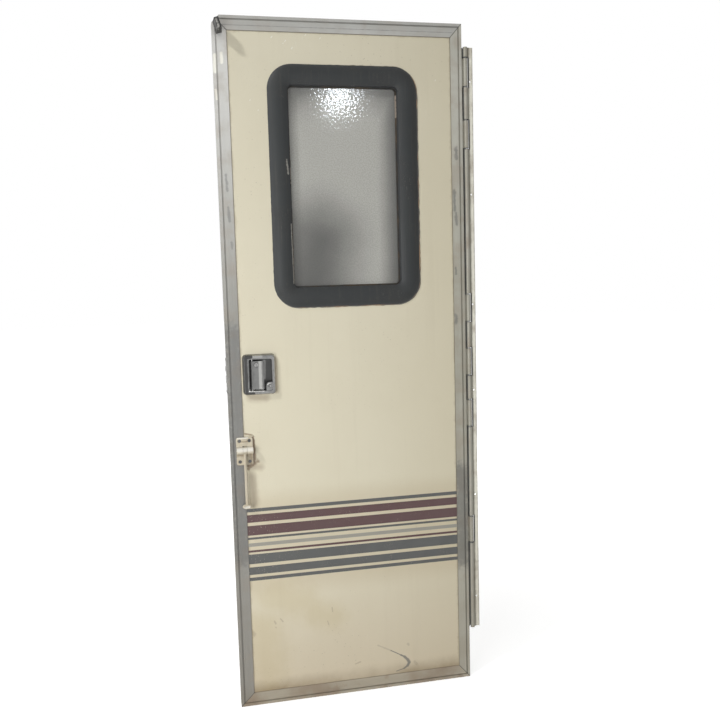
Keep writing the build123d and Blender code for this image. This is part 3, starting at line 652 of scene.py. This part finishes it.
# Painted shade with grease: dark lines along the gaps round the knuckles and between the leaves.
gap_shade_and_grease = []
below_mm = hinge_foot_mm
for mid_mm in (-474.0, -139.0, 6.0, 155.5, 625.0, 788.0):
    foot_mm = mid_mm - half_knuckle_mm
    head_mm = mid_mm + half_knuckle_mm
    gap_shade_and_grease.append((barrel_left_mm, below_mm, barrel_left_mm, foot_mm, side_line_mm))
    gap_shade_and_grease.append((barrel_right_mm, foot_mm, barrel_right_mm, head_mm, 4.2))
    gap_shade_and_grease.append((barrel_left_mm, foot_mm, barrel_right_mm, foot_mm, end_line_mm))
    gap_shade_and_grease.append((barrel_left_mm, head_mm, barrel_right_mm, head_mm, end_line_mm))
    below_mm = head_mm
gap_shade_and_grease.append((barrel_left_mm, below_mm, barrel_left_mm, hinge_head_mm, side_line_mm))
leaf_mm = pin_mm + 16.0
pale_leaf = ((leaf_mm, hinge_foot_mm, leaf_mm, hinge_head_mm, 6.5),)
hinge_metal = aluminium(
    "hinge_metal", level=0.30, warm=0.07, upright=True, dirt_level=0.34,
    rubs_and_shade=gap_shade_and_grease, rub_and_shade_level=0.9, ragged=0.6, rough=0.52, pale=pale_leaf,
)
print("finish", hinge_metal.name, "pin at", round(pin_mm, 1), "grease lines", len(gap_shade_and_grease))

# %% [markdown]
# ## Window finishes
# The ring round the window is a dark grey moulding gone chalky. The glass is the pebbled kind that
# hides the view: two sizes of cells in a bump scatter the light. A grey film lies over it, with painted
# shade in its small cells, and soft strokes of painted dark reflection make it darker in its lower left,
# along its right side and in its top corners.

# %% Window ring
ring_plastic, desk, shader, place = new_finish("ring_plastic")
age = desk.group(ageing, Scale=12.0, Shift=(0.9, 0.3, 1.4))
plastic = desk.mix(desk.noise(place, 9.0, 4.0), (0.025, 0.0275, 0.028), (0.034, 0.037, 0.038))
ring_low, ring_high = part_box("window_ring")
rise = skin_y - ring_low[1]
rim = desk.fade(desk.axes(place)["Y"], ring_low[1] + 0.3 * rise, ring_low[1] + 0.95 * rise)
bare_edge = ((-147, 392, -145, 236, 1.8), (-153, 556, -150, 520, 3.0))
bare = strokes(desk, bare_edge, ragged=2.2, grain=120.0)
plastic = desk.layers(
    plastic,
    (age["Blotch"], 0.35, grey(0.05, 0.01)),
    (age["Run"], 0.2, (0.075, 0.07, 0.06)),
    (age["Scratch"], 0.5, grey(0.15, 0.03)),
    (age["Speck"], 0.5, (0.26, 0.23, 0.17)),
    (rim, 0.45, (0.068, 0.072, 0.078)),
    (bare, 0.7, (0.42, 0.40, 0.36)),
)
desk.wire(shader, Base_Color=plastic, Roughness=desk.span(age["Blotch"], 0.5, 0.68))
desk.wire(shader, Specular_IOR_Level=0.3, Normal=desk.bump(desk.noise(place, 420.0, 3.0), 0.12, 0.0006))
print("finish", ring_plastic.name)

# %% Pebbled glass
obscure_glass, desk, shader, place = new_finish("obscure_glass")
axes = desk.axes(place)
on_sheet = desk.node("ShaderNodeCombineXYZ", X=axes["X"], Y=axes["Z"]).outputs[0]
pebble_textures = []
for pebble_scale in (125.0, 330.0):
    texture = desk.node("ShaderNodeTexVoronoi", Vector=on_sheet, Scale=pebble_scale)
    texture.voronoi_dimensions = "2D"
    texture.feature = "SMOOTH_F1"
    pebble_textures.append(texture.outputs["Distance"])
relief = desk.plus(pebble_textures[0], desk.times(pebble_textures[1], 0.25))
age = desk.group(ageing, Scale=6.0, Shift=(2.2, 0.4, 0.1))
film = desk.mix(desk.noise(place, 4.0, 2.0), (0.60, 0.595, 0.55), (0.55, 0.545, 0.50))
soft = {"grain": 9.0, "core": 0.02}
# Painted dark reflection: soft strokes darken the pane's lower left, its right side and its top corners.
dark_middle = strokes(desk, ((-68, 345, -100, 205, 178),), ragged=0.25, **soft)
dark_side = strokes(desk, ((156, 740, 150, 200, 66),), ragged=0.2, **soft)
corner_marks = ((-170, 780, -120, 790, 150), (120, 790, 160, 760, 140))
dark_corners = strokes(desk, corner_marks, ragged=0.2, **soft)
painted_dark_reflection = desk.most(desk.times(dark_middle, 0.86), desk.times(dark_side, 0.86), desk.times(dark_corners, 0.85))
film = desk.mix(painted_dark_reflection, film, (0.105, 0.105, 0.10))
film = desk.cover(film, age["Run"], 0.06, (0.17, 0.17, 0.155))
# Painted shade of the pebbles: the film is darker in the small cells.
film = desk.mix(desk.fade(pebble_textures[1], 0.55, 0.15), desk.mix(0.16, film, grey(0.10)), film)
desk.wire(shader, Base_Color=film, Roughness=desk.span(age["Blotch"], 0.07, 0.10))
desk.wire(shader, Normal=desk.bump(relief, 0.12, 0.0011), Transmission_Weight=0.35, IOR=1.5)
print("finish", obscure_glass.name)

# %% [markdown]
# ## Rubber
# Old rubber is dull and finely cracked, with a brown bloom. The cracks are stretched cells in a bump.
# Where it has peeled or worn, placed strokes show the paler material below. Sealant is made by the same
# recipe with a lighter, stronger brown.

# %% Rubber
rubber_brown = (0.17, 0.115, 0.065)
flake_brown = (0.38, 0.32, 0.26)


def rubber(name, level, brown, flakes=(), flake_tone=flake_brown, bloom=rubber_brown):
    """Old rubber: dull, cracked, browned from brown[0] to brown[1], with pale flakes at chosen places."""
    material, desk, shader, place = new_finish(name)
    age = desk.group(ageing, Scale=16.0, Shift=(0.6, 0.9, 0.2))
    cracks = desk.cells(desk.stretch(place, 1.0, 1.0, 0.5), 300.0)
    tone = desk.mix(desk.noise(place, 40.0, 4.0), grey(level, 0.03), grey(level * 1.8, 0.05))
    tone = desk.mix(desk.span(age["Blotch"], *brown), tone, bloom)
    tone = desk.cover(tone, age["Speck"], 0.6, (0.35, 0.31, 0.25))
    if flakes:
        tone = desk.cover(tone, strokes(desk, flakes, ragged=2.4, grain=130.0), 0.8, flake_tone)
    desk.wire(shader, Base_Color=tone, Roughness=desk.span(age["Blotch"], 0.55, 0.8))
    desk.wire(shader, Normal=desk.bump(cracks, 0.35, 0.0006))
    return material


peeled = ((146, 722, 146, 672, 5), (-139, 534, -139, 500, 6), (-143, 330, -143, 238, 2.5))
worn_spots = ((-320, 889, -318, 884, 4), (-316, 877, -315, 873, 4))
seal_rubber = rubber("seal_rubber", level=0.020, brown=(0.0, 0.2))
glazing_rubber = rubber("glazing_rubber", level=0.016, brown=(0.0, 0.35), flakes=peeled)
worn_look = {"flakes": worn_spots, "flake_tone": (0.42, 0.41, 0.38)}
bumper_rubber = rubber("bumper_rubber", level=0.012, brown=(0.0, 0.12), **worn_look)
# The hinge's gap seal sits behind the gap so that it shows dark: a sheet standing in for shade there.
gap_shade_rubber = rubber("gap_shade_rubber", level=0.2, brown=(0.0, 0.2))
sealant_brown = (0.36, 0.245, 0.15)
dark_sealant = rubber("dark_sealant", level=0.07, brown=(0.05, 0.85), bloom=sealant_brown)
brown_sealant = rubber("brown_sealant", level=0.12, brown=(0.55, 0.95), bloom=sealant_brown)
print("finishes", seal_rubber.name, glazing_rubber.name, bumper_rubber.name)
print("finishes", dark_sealant.name, brown_sealant.name)

# %% [markdown]
# ## Plated metal
# Chrome plate is a mirror that has pitted and greyed. On the lock, painted shade makes it darkest in the
# finger dish and along its left side next to the door's edge, and painted highlights brighten the top of
# the bezel, its right flank, the foot of the dish, the paddle's grip and the key plug's rim. Depth finds
# the dish and strokes find the rest. Plated steel is duller and has no such places.

# %% Plated metal


def plated(name, level, rough, grime, dark_side=(), bright=(), dish_y=None, rubbed=()):
    """Plated metal with pits and grime, dark along some strokes, and bright along others.

    The dark strokes mostly paint shade, and the bright strokes paint highlights; these come in lots, each
    with its level. With dish_y the metal is darkest deeper than that, a painted shade, save where the
    rubbed strokes keep it only half as dark."""
    material, desk, shader, place = new_finish(name)
    age = desk.group(ageing, Scale=30.0, Shift=(0.1, 0.7, 1.9))
    close_age = desk.group(ageing, Scale=70.0, Shift=(2.1, 0.3, 0.5))
    metal = desk.mix(desk.noise(place, 60.0, 4.0), grey(level * 0.8, 0.01), grey(level * 1.15, 0.01))
    dirt = desk.times(age["Blotch"], grime)
    if dish_y is not None:
        # Painted shade in the finger dish, darker deeper than dish_y.
        deep = desk.fade(desk.axes(place)["Y"], dish_y, dish_y + 9 * MM)
        kept = desk.span(strokes(desk, rubbed, ragged=0.4, core=0.5), 0.78, 0.30)
        dirt = desk.most(dirt, desk.times(deep, kept))
    if dark_side:
        # Dark strokes, mostly painted shade.
        dirt = desk.most(dirt, desk.times(strokes(desk, dark_side, ragged=0.6, core=0.6), 0.95))
    metal = desk.mix(dirt, metal, (0.032, 0.032, 0.031))
    metal = desk.cover(metal, close_age["Speck"], 0.8, (0.05, 0.042, 0.035))
    # Bright strokes are painted highlights.
    for marks, bright_level in bright:
        metal = desk.cover(metal, strokes(desk, marks, ragged=0.5), 0.8, grey(bright_level, 0.02))
    gloss = desk.plus(desk.span(close_age["Scratch"], *rough), desk.times(dirt, 0.2))
    desk.wire(shader, Base_Color=metal, Metallic=desk.span(dirt, 1.0, 0.15), Roughness=gloss)
    pits = desk.minus(0.0, close_age["Speck"])
    desk.wire(shader, Normal=desk.bump(pits, 0.3, 0.0004))
    return material


zinc_steel = plated("zinc_steel", level=0.38, rough=(0.30, 0.48), grime=0.5)
screw_steel = plated("screw_steel", level=0.12, rough=(0.45, 0.6), grime=0.35)
print("finishes", zinc_steel.name, screw_steel.name)

# %% Lock housing
housing_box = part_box("lock_housing")
left, right, foot, head = sides_mm(housing_box)
# Painted shade and dark reflection along the housing's left side, next to the door's edge.
shaded_side = (
    (left + 6, foot + 4, left + 6, head - 5, 9),
    (left + 6, head - 6, left + 22, head - 6, 6),
    (left + 6, foot + 5, left + 26, foot + 5, 5),
)
# Painted highlights: along the top of the bezel, the dish's foot that faces up, and the right flank.
top_sheen = ((left + 30, head - 5, left + 50, head - 5, 5),)
lit_dish_foot = ((left + 16, foot + 11.5, left + 54, foot + 11.5, 2.4),)
lit_flank = ((right - 1, foot + 6, right - 1, head - 6, 3.0),)
lock_highlights = ((top_sheen, 0.40), (lit_dish_foot + lit_flank, 0.85))
dish_y = housing_box[0][1] + 4 * MM
rubbed_floor = ((-230, 32, -232, -12, 6.5), (-272, 34, -275, -36, 5.0))
lock_chrome = plated(
    "lock_chrome", level=0.25, rough=(0.10, 0.25), grime=0.25,
    dark_side=shaded_side, bright=lock_highlights, dish_y=dish_y, rubbed=rubbed_floor,
)
print("finish", lock_chrome.name, "on a lock", round(right - left, 1), "by", round(head - foot, 1), "mm")

# %% Paddle and key plugs


def middle_mm(box):
    """The middle of a CAD box, in millimetres right of and above the door's middle."""
    left, right, foot, head = sides_mm(box)
    return (left + right) / 2, (foot + head) / 2


left, right, foot, head = sides_mm(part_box("lock_paddle"))
grip_mm = right - 9.5
# A painted highlight down the paddle's grip.
grip_highlight = ((grip_mm, foot, grip_mm, head, 6.0),)
back_mm = left + 1.0
# Painted shade along the paddle's back edge, by the dark slot of the dish.
paddle_back_shade = ((back_mm, foot, back_mm, head, 3.0),)
x, z = middle_mm(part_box("paddle_key_plug"))
plug_rim = ((x, z, x, z, 9.0),)
paddle_chrome = plated(
    "paddle_chrome", level=0.18, rough=(0.33, 0.42), grime=0.35,
    dark_side=plug_rim + paddle_back_shade, bright=((grip_highlight, 0.40),),
)
plug_metal = plated("plug_metal", level=0.33, rough=(0.16, 0.30), grime=0.3)
x, z = middle_mm(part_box("bolt_key_plug"))
# Painted glints round the top of the bolt key plug.
key_glints = (
    (x - 5.0, z + 1.5, x - 2.5, z + 4.6, 2.0),
    (x - 2.5, z + 4.6, x + 2.0, z + 5.0, 2.0),
    (x + 1.6, z - 2.0, x + 2.0, z - 2.4, 1.6),
)
key_metal = plated("key_metal", level=0.22, rough=(0.14, 0.30), grime=0.35, bright=((key_glints, 0.66),))
print("finishes", paddle_chrome.name, plug_metal.name, key_metal.name)

# %% [markdown]
# ## Plastics
# The hold-back is ivory plastic, glossy but grimy, with painted highlights on its boss and edges and
# painted shade under its boss. Indoors the lining is a vinyl-faced board with a faint grain, and its
# fittings are black and off-white plastic. They differ only in tones, gloss, dirt, painted light and
# grain size, so one recipe makes them all.

# %% Plastics
brown_grime = (0.26, 0.19, 0.11)
highlight_ivory = (0.90, 0.87, 0.79)


def moulded(name, light, dark, rough, dirt_level, grain, dirt_tone=brown_grime, grime_and_shade=(), highlights=()):
    """Moulded plastic: two close tones, grime in blotches, runs and placed strokes, a fine grain.

    The grime_and_shade strokes paint shade as well as grime, and the highlights strokes paint highlights.
    """
    material, desk, shader, place = new_finish(name)
    age = desk.group(ageing, Scale=26.0, Shift=(1.1, 0.2, 0.6))
    tone = desk.mix(desk.noise(place, 18.0, 4.0), light, dark)
    dirt = desk.times(desk.most(age["Blotch"], age["Run"]), dirt_level)
    tone = desk.mix(dirt, tone, dirt_tone)
    tone = desk.cover(tone, age["Speck"], dirt_level, dirt_tone)
    if grime_and_shade:
        tone = desk.cover(tone, strokes(desk, grime_and_shade, ragged=1.2, grain=120.0, core=-0.1), 0.75, dirt_tone)
    if highlights:
        tone = desk.cover(tone, strokes(desk, highlights, ragged=0.5, core=0.2), 0.8, highlight_ivory)
    gloss = desk.plus(desk.span(age["Blotch"], rough, rough + 0.12), desk.times(dirt, 0.2))
    desk.wire(shader, Base_Color=tone, Roughness=gloss)
    desk.wire(shader, Normal=desk.bump(desk.noise(place, grain, 3.0), 0.12, 0.0005))
    return material


grime_round_screws = tuple((x, z, x, z, 8.5) for x in (-305.5, -279.5) for z in (-175.0, -231.0))
# Grime round the screws and at the base's foot, with a band of painted shade under the boss.
base_grime_and_shade = grime_round_screws + (
    (-276, -212, -276, -238, 9),
    (-312, -213, -288, -214, 8),
    (-312, -241, -288, -241, 4),
    (-304, -177, -284, -177, 3.5),
)
# Painted highlights along the base's top edge, across the boss and on the arm's foot.
boss_highlights = (
    (-310, -168, -284, -167, 3),
    (-310, -195, -276, -195, 9),
    (-298, -352, -288, -352, 5),
)
ivory_look = {"rough": 0.22, "dirt_level": 0.26, "grain": 300.0, "highlights": boss_highlights}
ivory_tones = ((0.68, 0.62, 0.49), (0.59, 0.525, 0.395))
ivory_plastic = moulded("ivory_plastic", *ivory_tones, grime_and_shade=base_grime_and_shade, **ivory_look)
arm_tones = ((0.61, 0.55, 0.43), (0.52, 0.46, 0.34))
arm_plastic = moulded("arm_plastic", *arm_tones, **ivory_look)
print("finishes", ivory_plastic.name, arm_plastic.name)

# %% Indoor plastics, lining and core
pale_grime = (0.10, 0.09, 0.075)
black_plastic = moulded(
    "black_plastic", grey(0.030), grey(0.022), rough=0.40, dirt_level=0.3, grain=500.0, dirt_tone=pale_grime
)
trim_tones = ((0.60, 0.57, 0.49), (0.53, 0.50, 0.42))
trim_plastic = moulded("trim_plastic", *trim_tones, rough=0.42, dirt_level=0.2, grain=420.0)
lining_tones = ((0.70, 0.68, 0.61), (0.66, 0.63, 0.55))
lining_vinyl = moulded("lining_vinyl", *lining_tones, rough=0.5, dirt_level=0.06, grain=240.0)
foam_tones = ((0.66, 0.60, 0.42), (0.58, 0.50, 0.33))
core_foam = moulded("core_foam", *foam_tones, rough=0.8, dirt_level=0.3, grain=700.0)
print("finishes", black_plastic.name, trim_plastic.name, lining_vinyl.name, core_foam.name)

# %% [markdown]
# ## Put the finishes on the CAD pieces
# A CAD piece keeps its mesh and only changes its material slots.

# %% Dress the CAD pieces
finishes = {
    hinge_metal: ("jamb_hinge_leaf", "door_hinge_leaf"),
    latch_metal: ("frame_latch_stile",),
    hinge_stile_metal: ("frame_hinge_stile",),
    top_rail_metal: ("frame_top_rail",),
    bottom_rail_metal: ("frame_bottom_rail",),
    cream_paint: ("outer_skin",),
    core_foam: ("panel_core",),
    lining_vinyl: ("inner_lining",),
    ring_plastic: ("window_ring",),
    obscure_glass: ("window_glass",),
    glazing_rubber: ("glazing_seal",),
    trim_plastic: ("window_trim",),
    lock_chrome: ("lock_housing",),
    paddle_chrome: ("lock_paddle",),
    plug_metal: ("paddle_key_plug",),
    key_metal: ("bolt_key_plug",),
    zinc_steel: (
        "hinge_pin", "paddle_pin", "holder_pin", "lock_case", "latch_bolt", "deadbolt", "edge_plate"
    ),
    black_plastic: ("inner_lock_plate", "inner_lever", "inner_bolt_knob"),
    ivory_plastic: ("holder_base",),
    arm_plastic: ("holder_arm",),
    bumper_rubber: ("corner_bumper",),
    gap_shade_rubber: ("hinge_gap_seal",),
    seal_rubber: (
        "weather_seal_top", "weather_seal_bottom", "weather_seal_latch", "weather_seal_hinge"
    ),
}
for finish, names in finishes.items():
    for name in names:
        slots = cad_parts[name].data.materials
        slots.clear()
        slots.append(finish)
print("dressed", sum(len(names) for names in finishes.values()), "CAD pieces")

# %% [markdown]
# ## New pieces
# A piece is a mesh whose place is in its vertices, so its object stays at the origin. This helper turns
# a bmesh into an object, gives it a finish and its material slot, and lets it ride on a CAD body.

# %% Piece helper


def make_piece(name, shape, finish, body="door"):
    """Make an object from a bmesh, riding on a CAD body."""
    bmesh.ops.recalc_face_normals(shape, faces=shape.faces)
    mesh = bpy.data.meshes.new(name)
    shape.to_mesh(mesh)
    shape.free()
    mesh.materials.append(finish)
    piece = bpy.data.objects.new(name, mesh)
    bpy.context.collection.objects.link(piece)
    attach(piece, body)


print("piece helper ready")

# %% [markdown]
# ## Vinyl stripes
# The waist stripes are strips of coloured film. They mirror about one middle stripe, so the pattern is
# stated once as distances from that stripe and used above and below it in different colours. Each
# strip is a thin solid rather than a painted mask, so its edge catches light and shows from the side.

# %% Vinyl film


def vinyl(name, tone, worn_tone):
    """Faded vinyl film with scuffs and chips that show the paint below."""
    material, desk, shader, place = new_finish(name)
    age = desk.group(ageing, Scale=8.0, Shift=(0.5, 0.0, 1.2))
    close_age = desk.group(ageing, Scale=24.0, Shift=(1.9, 0.0, 0.3))
    film = desk.mix(desk.noise(place, 14.0, 4.0), tone, worn_tone)
    chips = desk.fade(desk.cells(place, 170.0), 0.20, 0.10)
    latch_side = desk.fade(mm_from(desk, desk.axes(place)["X"], mid_x), -130.0, -260.0)
    film = desk.layers(
        film,
        (age["Blotch"], 0.25, worn_tone),
        (close_age["Scratch"], 0.5, (0.60, 0.54, 0.42)),
        (close_age["Speck"], 0.7, (0.62, 0.56, 0.43)),
        (desk.times(chips, latch_side), 0.5, (0.50, 0.45, 0.38)),
    )
    desk.wire(shader, Base_Color=film, Roughness=desk.span(age["Blotch"], 0.42, 0.58))
    desk.wire(shader, Normal=desk.bump(desk.noise(place, 300.0, 3.0), 0.08, 0.0005))
    return material


maroon_vinyl = vinyl("maroon_vinyl", (0.083, 0.0412, 0.0418), (0.115, 0.067, 0.066))
slate_vinyl = vinyl("slate_vinyl", (0.080, 0.082, 0.080), (0.121, 0.123, 0.119))
silver_vinyl = vinyl("silver_vinyl", (0.298, 0.288, 0.252), (0.372, 0.355, 0.302))
print("finishes", maroon_vinyl.name, slate_vinyl.name, silver_vinyl.name)

# %% Stripes
film_mm = 0.35
half_stripe_mm = 9.6 / 2
half_pattern_mm = ((14.9, 5.8), (26.4, 26.6), (62.0, 21.0), (90.8, 9.3))
upper_films = (slate_vinyl, maroon_vinyl, maroon_vinyl, slate_vinyl)
lower_films = (maroon_vinyl, slate_vinyl, slate_vinyl, slate_vinyl)
edge_gap_mm = 0.4
edge_bevel = 0.1 * MM


def make_stripe(name, low_mm, high_mm, finish):
    """One strip of film across the painted panel, with a fine bevel along its edges."""
    long_mm = panel_right_mm - panel_left_mm - 2 * edge_gap_mm
    shape = bmesh.new()
    bmesh.ops.create_cube(shape, size=1.0)
    bmesh.ops.scale(shape, vec=Vector((long_mm, film_mm, high_mm - low_mm)) * MM, verts=shape.verts)
    middle = on_door((panel_left_mm + panel_right_mm) / 2, (low_mm + high_mm) / 2, film_mm / 2)
    bmesh.ops.translate(shape, vec=middle, verts=shape.verts)
    edges = shape.edges[:]
    bmesh.ops.bevel(
        shape, geom=edges, offset=edge_bevel, segments=1, profile=0.5, affect="EDGES", material=-1
    )
    make_piece(name, shape, finish)


middle_edges_mm = (stripe_mid_mm - half_stripe_mm, stripe_mid_mm + half_stripe_mm)
make_stripe("stripe_middle", *middle_edges_mm, silver_vinyl)
for number, (start_mm, wide_mm) in enumerate(half_pattern_mm):
    above_mm = stripe_mid_mm + start_mm
    below_mm = stripe_mid_mm - start_mm
    make_stripe(f"stripe_above_{number}", above_mm, above_mm + wide_mm, upper_films[number])
    make_stripe(f"stripe_below_{number}", below_mm - wide_mm, below_mm, lower_films[number])
print("stripes", 1 + 2 * len(half_pattern_mm))

# %% [markdown]
# ## Beads of sealant
# Whoever fitted the window and the hold-back pressed them into brown sealant, and it squeezed out at
# their edges. Another, dark bead holds the glass. A bead is a rounded frame: a quad whose corners are
# bevelled, inset to leave a band, and raised. Its sides are then cut finer and pushed about by noise,
# so that no two stretches match. The noise has a fixed seed, because without one Blender starts it from
# the clock. The bead is drawn flat, and a matrix stands it up against the door.

# %% Bead makers
bead_seed = 7
noise.seed_set(bead_seed)
facing_out = Matrix(((1, 0, 0, 0), (0, 0, -1, 0), (0, 1, 0, 0), (0, 0, 0, 1)))
long_side = 12 * MM


def rounded_band(wide_mm, high_mm, radius_mm, band_mm, rise_mm):
    """A flat rounded frame of the given outer size, raised by rise_mm, drawn in the XY plane."""
    shape = bmesh.new()
    bmesh.ops.create_grid(shape, x_segments=1, y_segments=1, size=0.5)
    bmesh.ops.scale(shape, vec=(wide_mm * MM, high_mm * MM, 1), verts=shape.verts)
    corners = shape.verts[:]
    bmesh.ops.bevel(
        shape, geom=corners, offset=radius_mm * MM, segments=10, profile=0.5, affect="VERTICES", material=-1
    )
    sheet = shape.faces[:]
    bmesh.ops.inset_region(shape, faces=sheet, thickness=band_mm * MM, use_boundary=True)
    bmesh.ops.delete(shape, geom=sheet, context="FACES")
    raised = bmesh.ops.extrude_face_region(shape, geom=shape.faces[:])
    raised_verts = [item for item in raised["geom"] if isinstance(item, bmesh.types.BMVert)]
    bmesh.ops.translate(shape, vec=(0, 0, rise_mm * MM), verts=raised_verts)
    long_edges = [edge for edge in shape.edges if edge.calc_length() > long_side]
    bmesh.ops.subdivide_edges(shape, edges=long_edges, cuts=60, use_grid_fill=True)
    return shape


def lay_bead(shape, middle, wander_mm, grain):
    """Push a flat-drawn bead's points about in its own plane, then stand it up at its place."""
    for vert in shape.verts:
        push = noise.noise_vector(vert.co * grain)
        vert.co.x += push.x * wander_mm * MM
        vert.co.y += push.y * wander_mm * MM
    bmesh.ops.transform(shape, matrix=Matrix.Translation(middle) @ facing_out, verts=shape.verts)


print("bead makers ready, seed", bead_seed)

# %% Beads round the window ring and the glass
left, right, foot, head = sides_mm((ring_low, ring_high))
x, z = middle_mm((ring_low, ring_high))
ring_radius_mm = 65.0
squeeze_mm = 1.4
wide_mm = right - left + 2 * squeeze_mm
high_mm = head - foot + 2 * squeeze_mm
bead = rounded_band(wide_mm, high_mm, ring_radius_mm + squeeze_mm, band_mm=squeeze_mm + 2.4, rise_mm=1.3)
lay_bead(bead, on_door(x + 1.6, z - 1.2), wander_mm=1.5, grain=80.0)
make_piece("window_sealant", bead, dark_sealant)

glass_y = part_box("window_glass")[0][1]
ring_band_mm = 52.0
wide_mm = right - left - 2 * ring_band_mm - 1.0
high_mm = head - foot - 2 * ring_band_mm - 1.0
bead = rounded_band(wide_mm, high_mm, radius_mm=12.0, band_mm=3.2, rise_mm=1.4)
lay_bead(bead, on_door(x + 0.4, z, (skin_y - glass_y) / MM), wander_mm=1.7, grain=55.0)
make_piece("glazing_sealant", bead, glazing_rubber)
print("beads round a ring", round(right - left, 1), "by", round(head - foot, 1), "mm")

# %% Bead of the hold-back, cut off where the frame begins
holder_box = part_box("holder_base")
left, right, foot, head = sides_mm(holder_box)
holder_x_mm, holder_z_mm = middle_mm(holder_box)
bead = rounded_band(right - left + 5, head - foot + 6, radius_mm=9.0, band_mm=5.5, rise_mm=1.4)
lay_bead(bead, on_door(holder_x_mm + 2.4, holder_z_mm - 2.5), wander_mm=2.6, grain=90.0)
bmesh.ops.bisect_plane(
    bead,
    geom=bead.verts[:] + bead.edges[:] + bead.faces[:],
    plane_co=on_door(panel_left_mm + 0.3, 0),
    plane_no=(1, 0, 0),
    clear_inner=True,
)
bmesh.ops.holes_fill(bead, edges=[edge for edge in bead.edges if edge.is_boundary])
make_piece("holder_sealant", bead, brown_sealant)
print("bead round a base", round(right - left, 1), "by", round(head - foot, 1), "mm")

# %% [markdown]
# ## Screws
# A screw head is a short cone with a cross cut into it. The cross is the top face inset, its corner
# points pulled in, and pushed down. A countersunk head is wide at its top and sits in its hole; a round
# head is wide at its foot and stands on the surface. Only the head shows, so the shank is left out.

# %% Screw maker
arm_width = 0.55
notch_reach = 0.38


def make_screw(name, centre, outward, radius_mm, rise_mm, finish=zinc_steel):
    """A cross-head screw. With a rise it is a round head on the surface, without one a sunk head."""
    depth = rise_mm * MM if rise_mm else 0.62 * radius_mm * MM
    foot_radius = radius_mm * MM if rise_mm else 0.5 * radius_mm * MM
    top_radius = 0.8 * radius_mm * MM if rise_mm else radius_mm * MM
    shape = bmesh.new()
    bmesh.ops.create_cone(
        shape, cap_ends=True, segments=24, radius1=foot_radius, radius2=top_radius, depth=depth
    )
    bmesh.ops.translate(shape, vec=(0, 0, depth / 2 if rise_mm else -depth / 2), verts=shape.verts)
    top = max(shape.faces, key=lambda face: face.calc_center_median().z)
    bmesh.ops.inset_region(shape, faces=[top], thickness=0.35 * top_radius)
    for vert in top.verts:
        angle = math.atan2(vert.co.y, vert.co.x)
        reach = 1.0 if abs(math.sin(2 * angle)) < arm_width else notch_reach
        vert.co.x *= reach
        vert.co.y *= reach
    cross = bmesh.ops.extrude_face_region(shape, geom=[top])
    cross_verts = [item for item in cross["geom"] if isinstance(item, bmesh.types.BMVert)]
    bmesh.ops.translate(shape, vec=(0, 0, -0.4 * depth), verts=cross_verts)
    bmesh.ops.delete(shape, geom=[top], context="FACES_ONLY")
    turn = Vector((0, 0, 1)).rotation_difference(Vector(outward)).to_matrix().to_4x4()
    bmesh.ops.transform(shape, matrix=Matrix.Translation(centre) @ turn, verts=shape.verts)
    make_piece(name, shape, finish)


outdoors = (0, -1, 0)
indoors = (0, 1, 0)
corners = ((-1, -1), (-1, 1), (1, -1), (1, 1))
print("screw maker ready")

# %% Screws of the hold-back and the hinge
half_span_x_mm = 13.0
half_span_z_mm = 28.0
for side, end in corners:
    spot = on_door(holder_x_mm + side * half_span_x_mm, holder_z_mm + end * half_span_z_mm)
    spot.y = face_y - 3.3 * MM
    number = f"{side + 1}{end + 1}"
    make_screw(f"holder_screw_{number}", spot, outdoors, radius_mm=4.4, rise_mm=0, finish=screw_steel)

leaf_low, leaf_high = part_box("door_hinge_leaf")
leaf_face_x = hinge_high[0] + 2.5 * MM
leaf_screws = 9
leaf_step = (leaf_high[2] - leaf_low[2]) / leaf_screws
for number in range(leaf_screws):
    spot = Vector((leaf_face_x, leaf_high[1] - 7 * MM, leaf_low[2] + (number + 0.5) * leaf_step))
    make_screw(f"leaf_screw_{number}", spot, (1, 0, 0), radius_mm=3.8, rise_mm=1.0)
print("screws on the hold-back, and", leaf_screws, "on the hinge leaf of the door's edge")

# %% Screws of the lock and the window trim


def middle_and_half(box):
    """The middle of a CAD box and half its size, as vectors."""
    low, high = Vector(box[0]), Vector(box[1])
    return (low + high) / 2, (high - low) / 2


middle, half = middle_and_half(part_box("edge_plate"))
for end in (-1, 1):
    spot = middle + Vector((-half.x, 0, end * 0.88 * half.z))
    make_screw(f"edge_screw_{end + 1}", spot, (-1, 0, 0), radius_mm=3.6, rise_mm=0.9)

middle, half = middle_and_half(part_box("inner_lock_plate"))
plate_in = 7 * MM
for side, end in corners:
    spot = middle + Vector((side * (half.x - plate_in), half.y, end * (half.z - plate_in)))
    make_screw(f"plate_screw_{side + 1}{end + 1}", spot, indoors, radius_mm=3.6, rise_mm=1.2)

middle, half = middle_and_half(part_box("window_trim"))
trim_in = 14 * MM
trim_spots = []
for side in (-1, 1):
    trim_x = side * (half.x - trim_in)
    trim_z = side * (half.z - trim_in)
    trim_spots += [(trim_x, half.y, share * half.z) for share in (-0.75, -0.25, 0.25, 0.75)]
    trim_spots += [(share * half.x, half.y, trim_z) for share in (-0.4, 0.4)]
for number, spot in enumerate(trim_spots):
    spot = middle + Vector(spot)
    make_screw(f"trim_screw_{number}", spot, indoors, radius_mm=3.4, rise_mm=1.1)
print("screws on the lock's plates, and", len(trim_spots), "on the window trim")
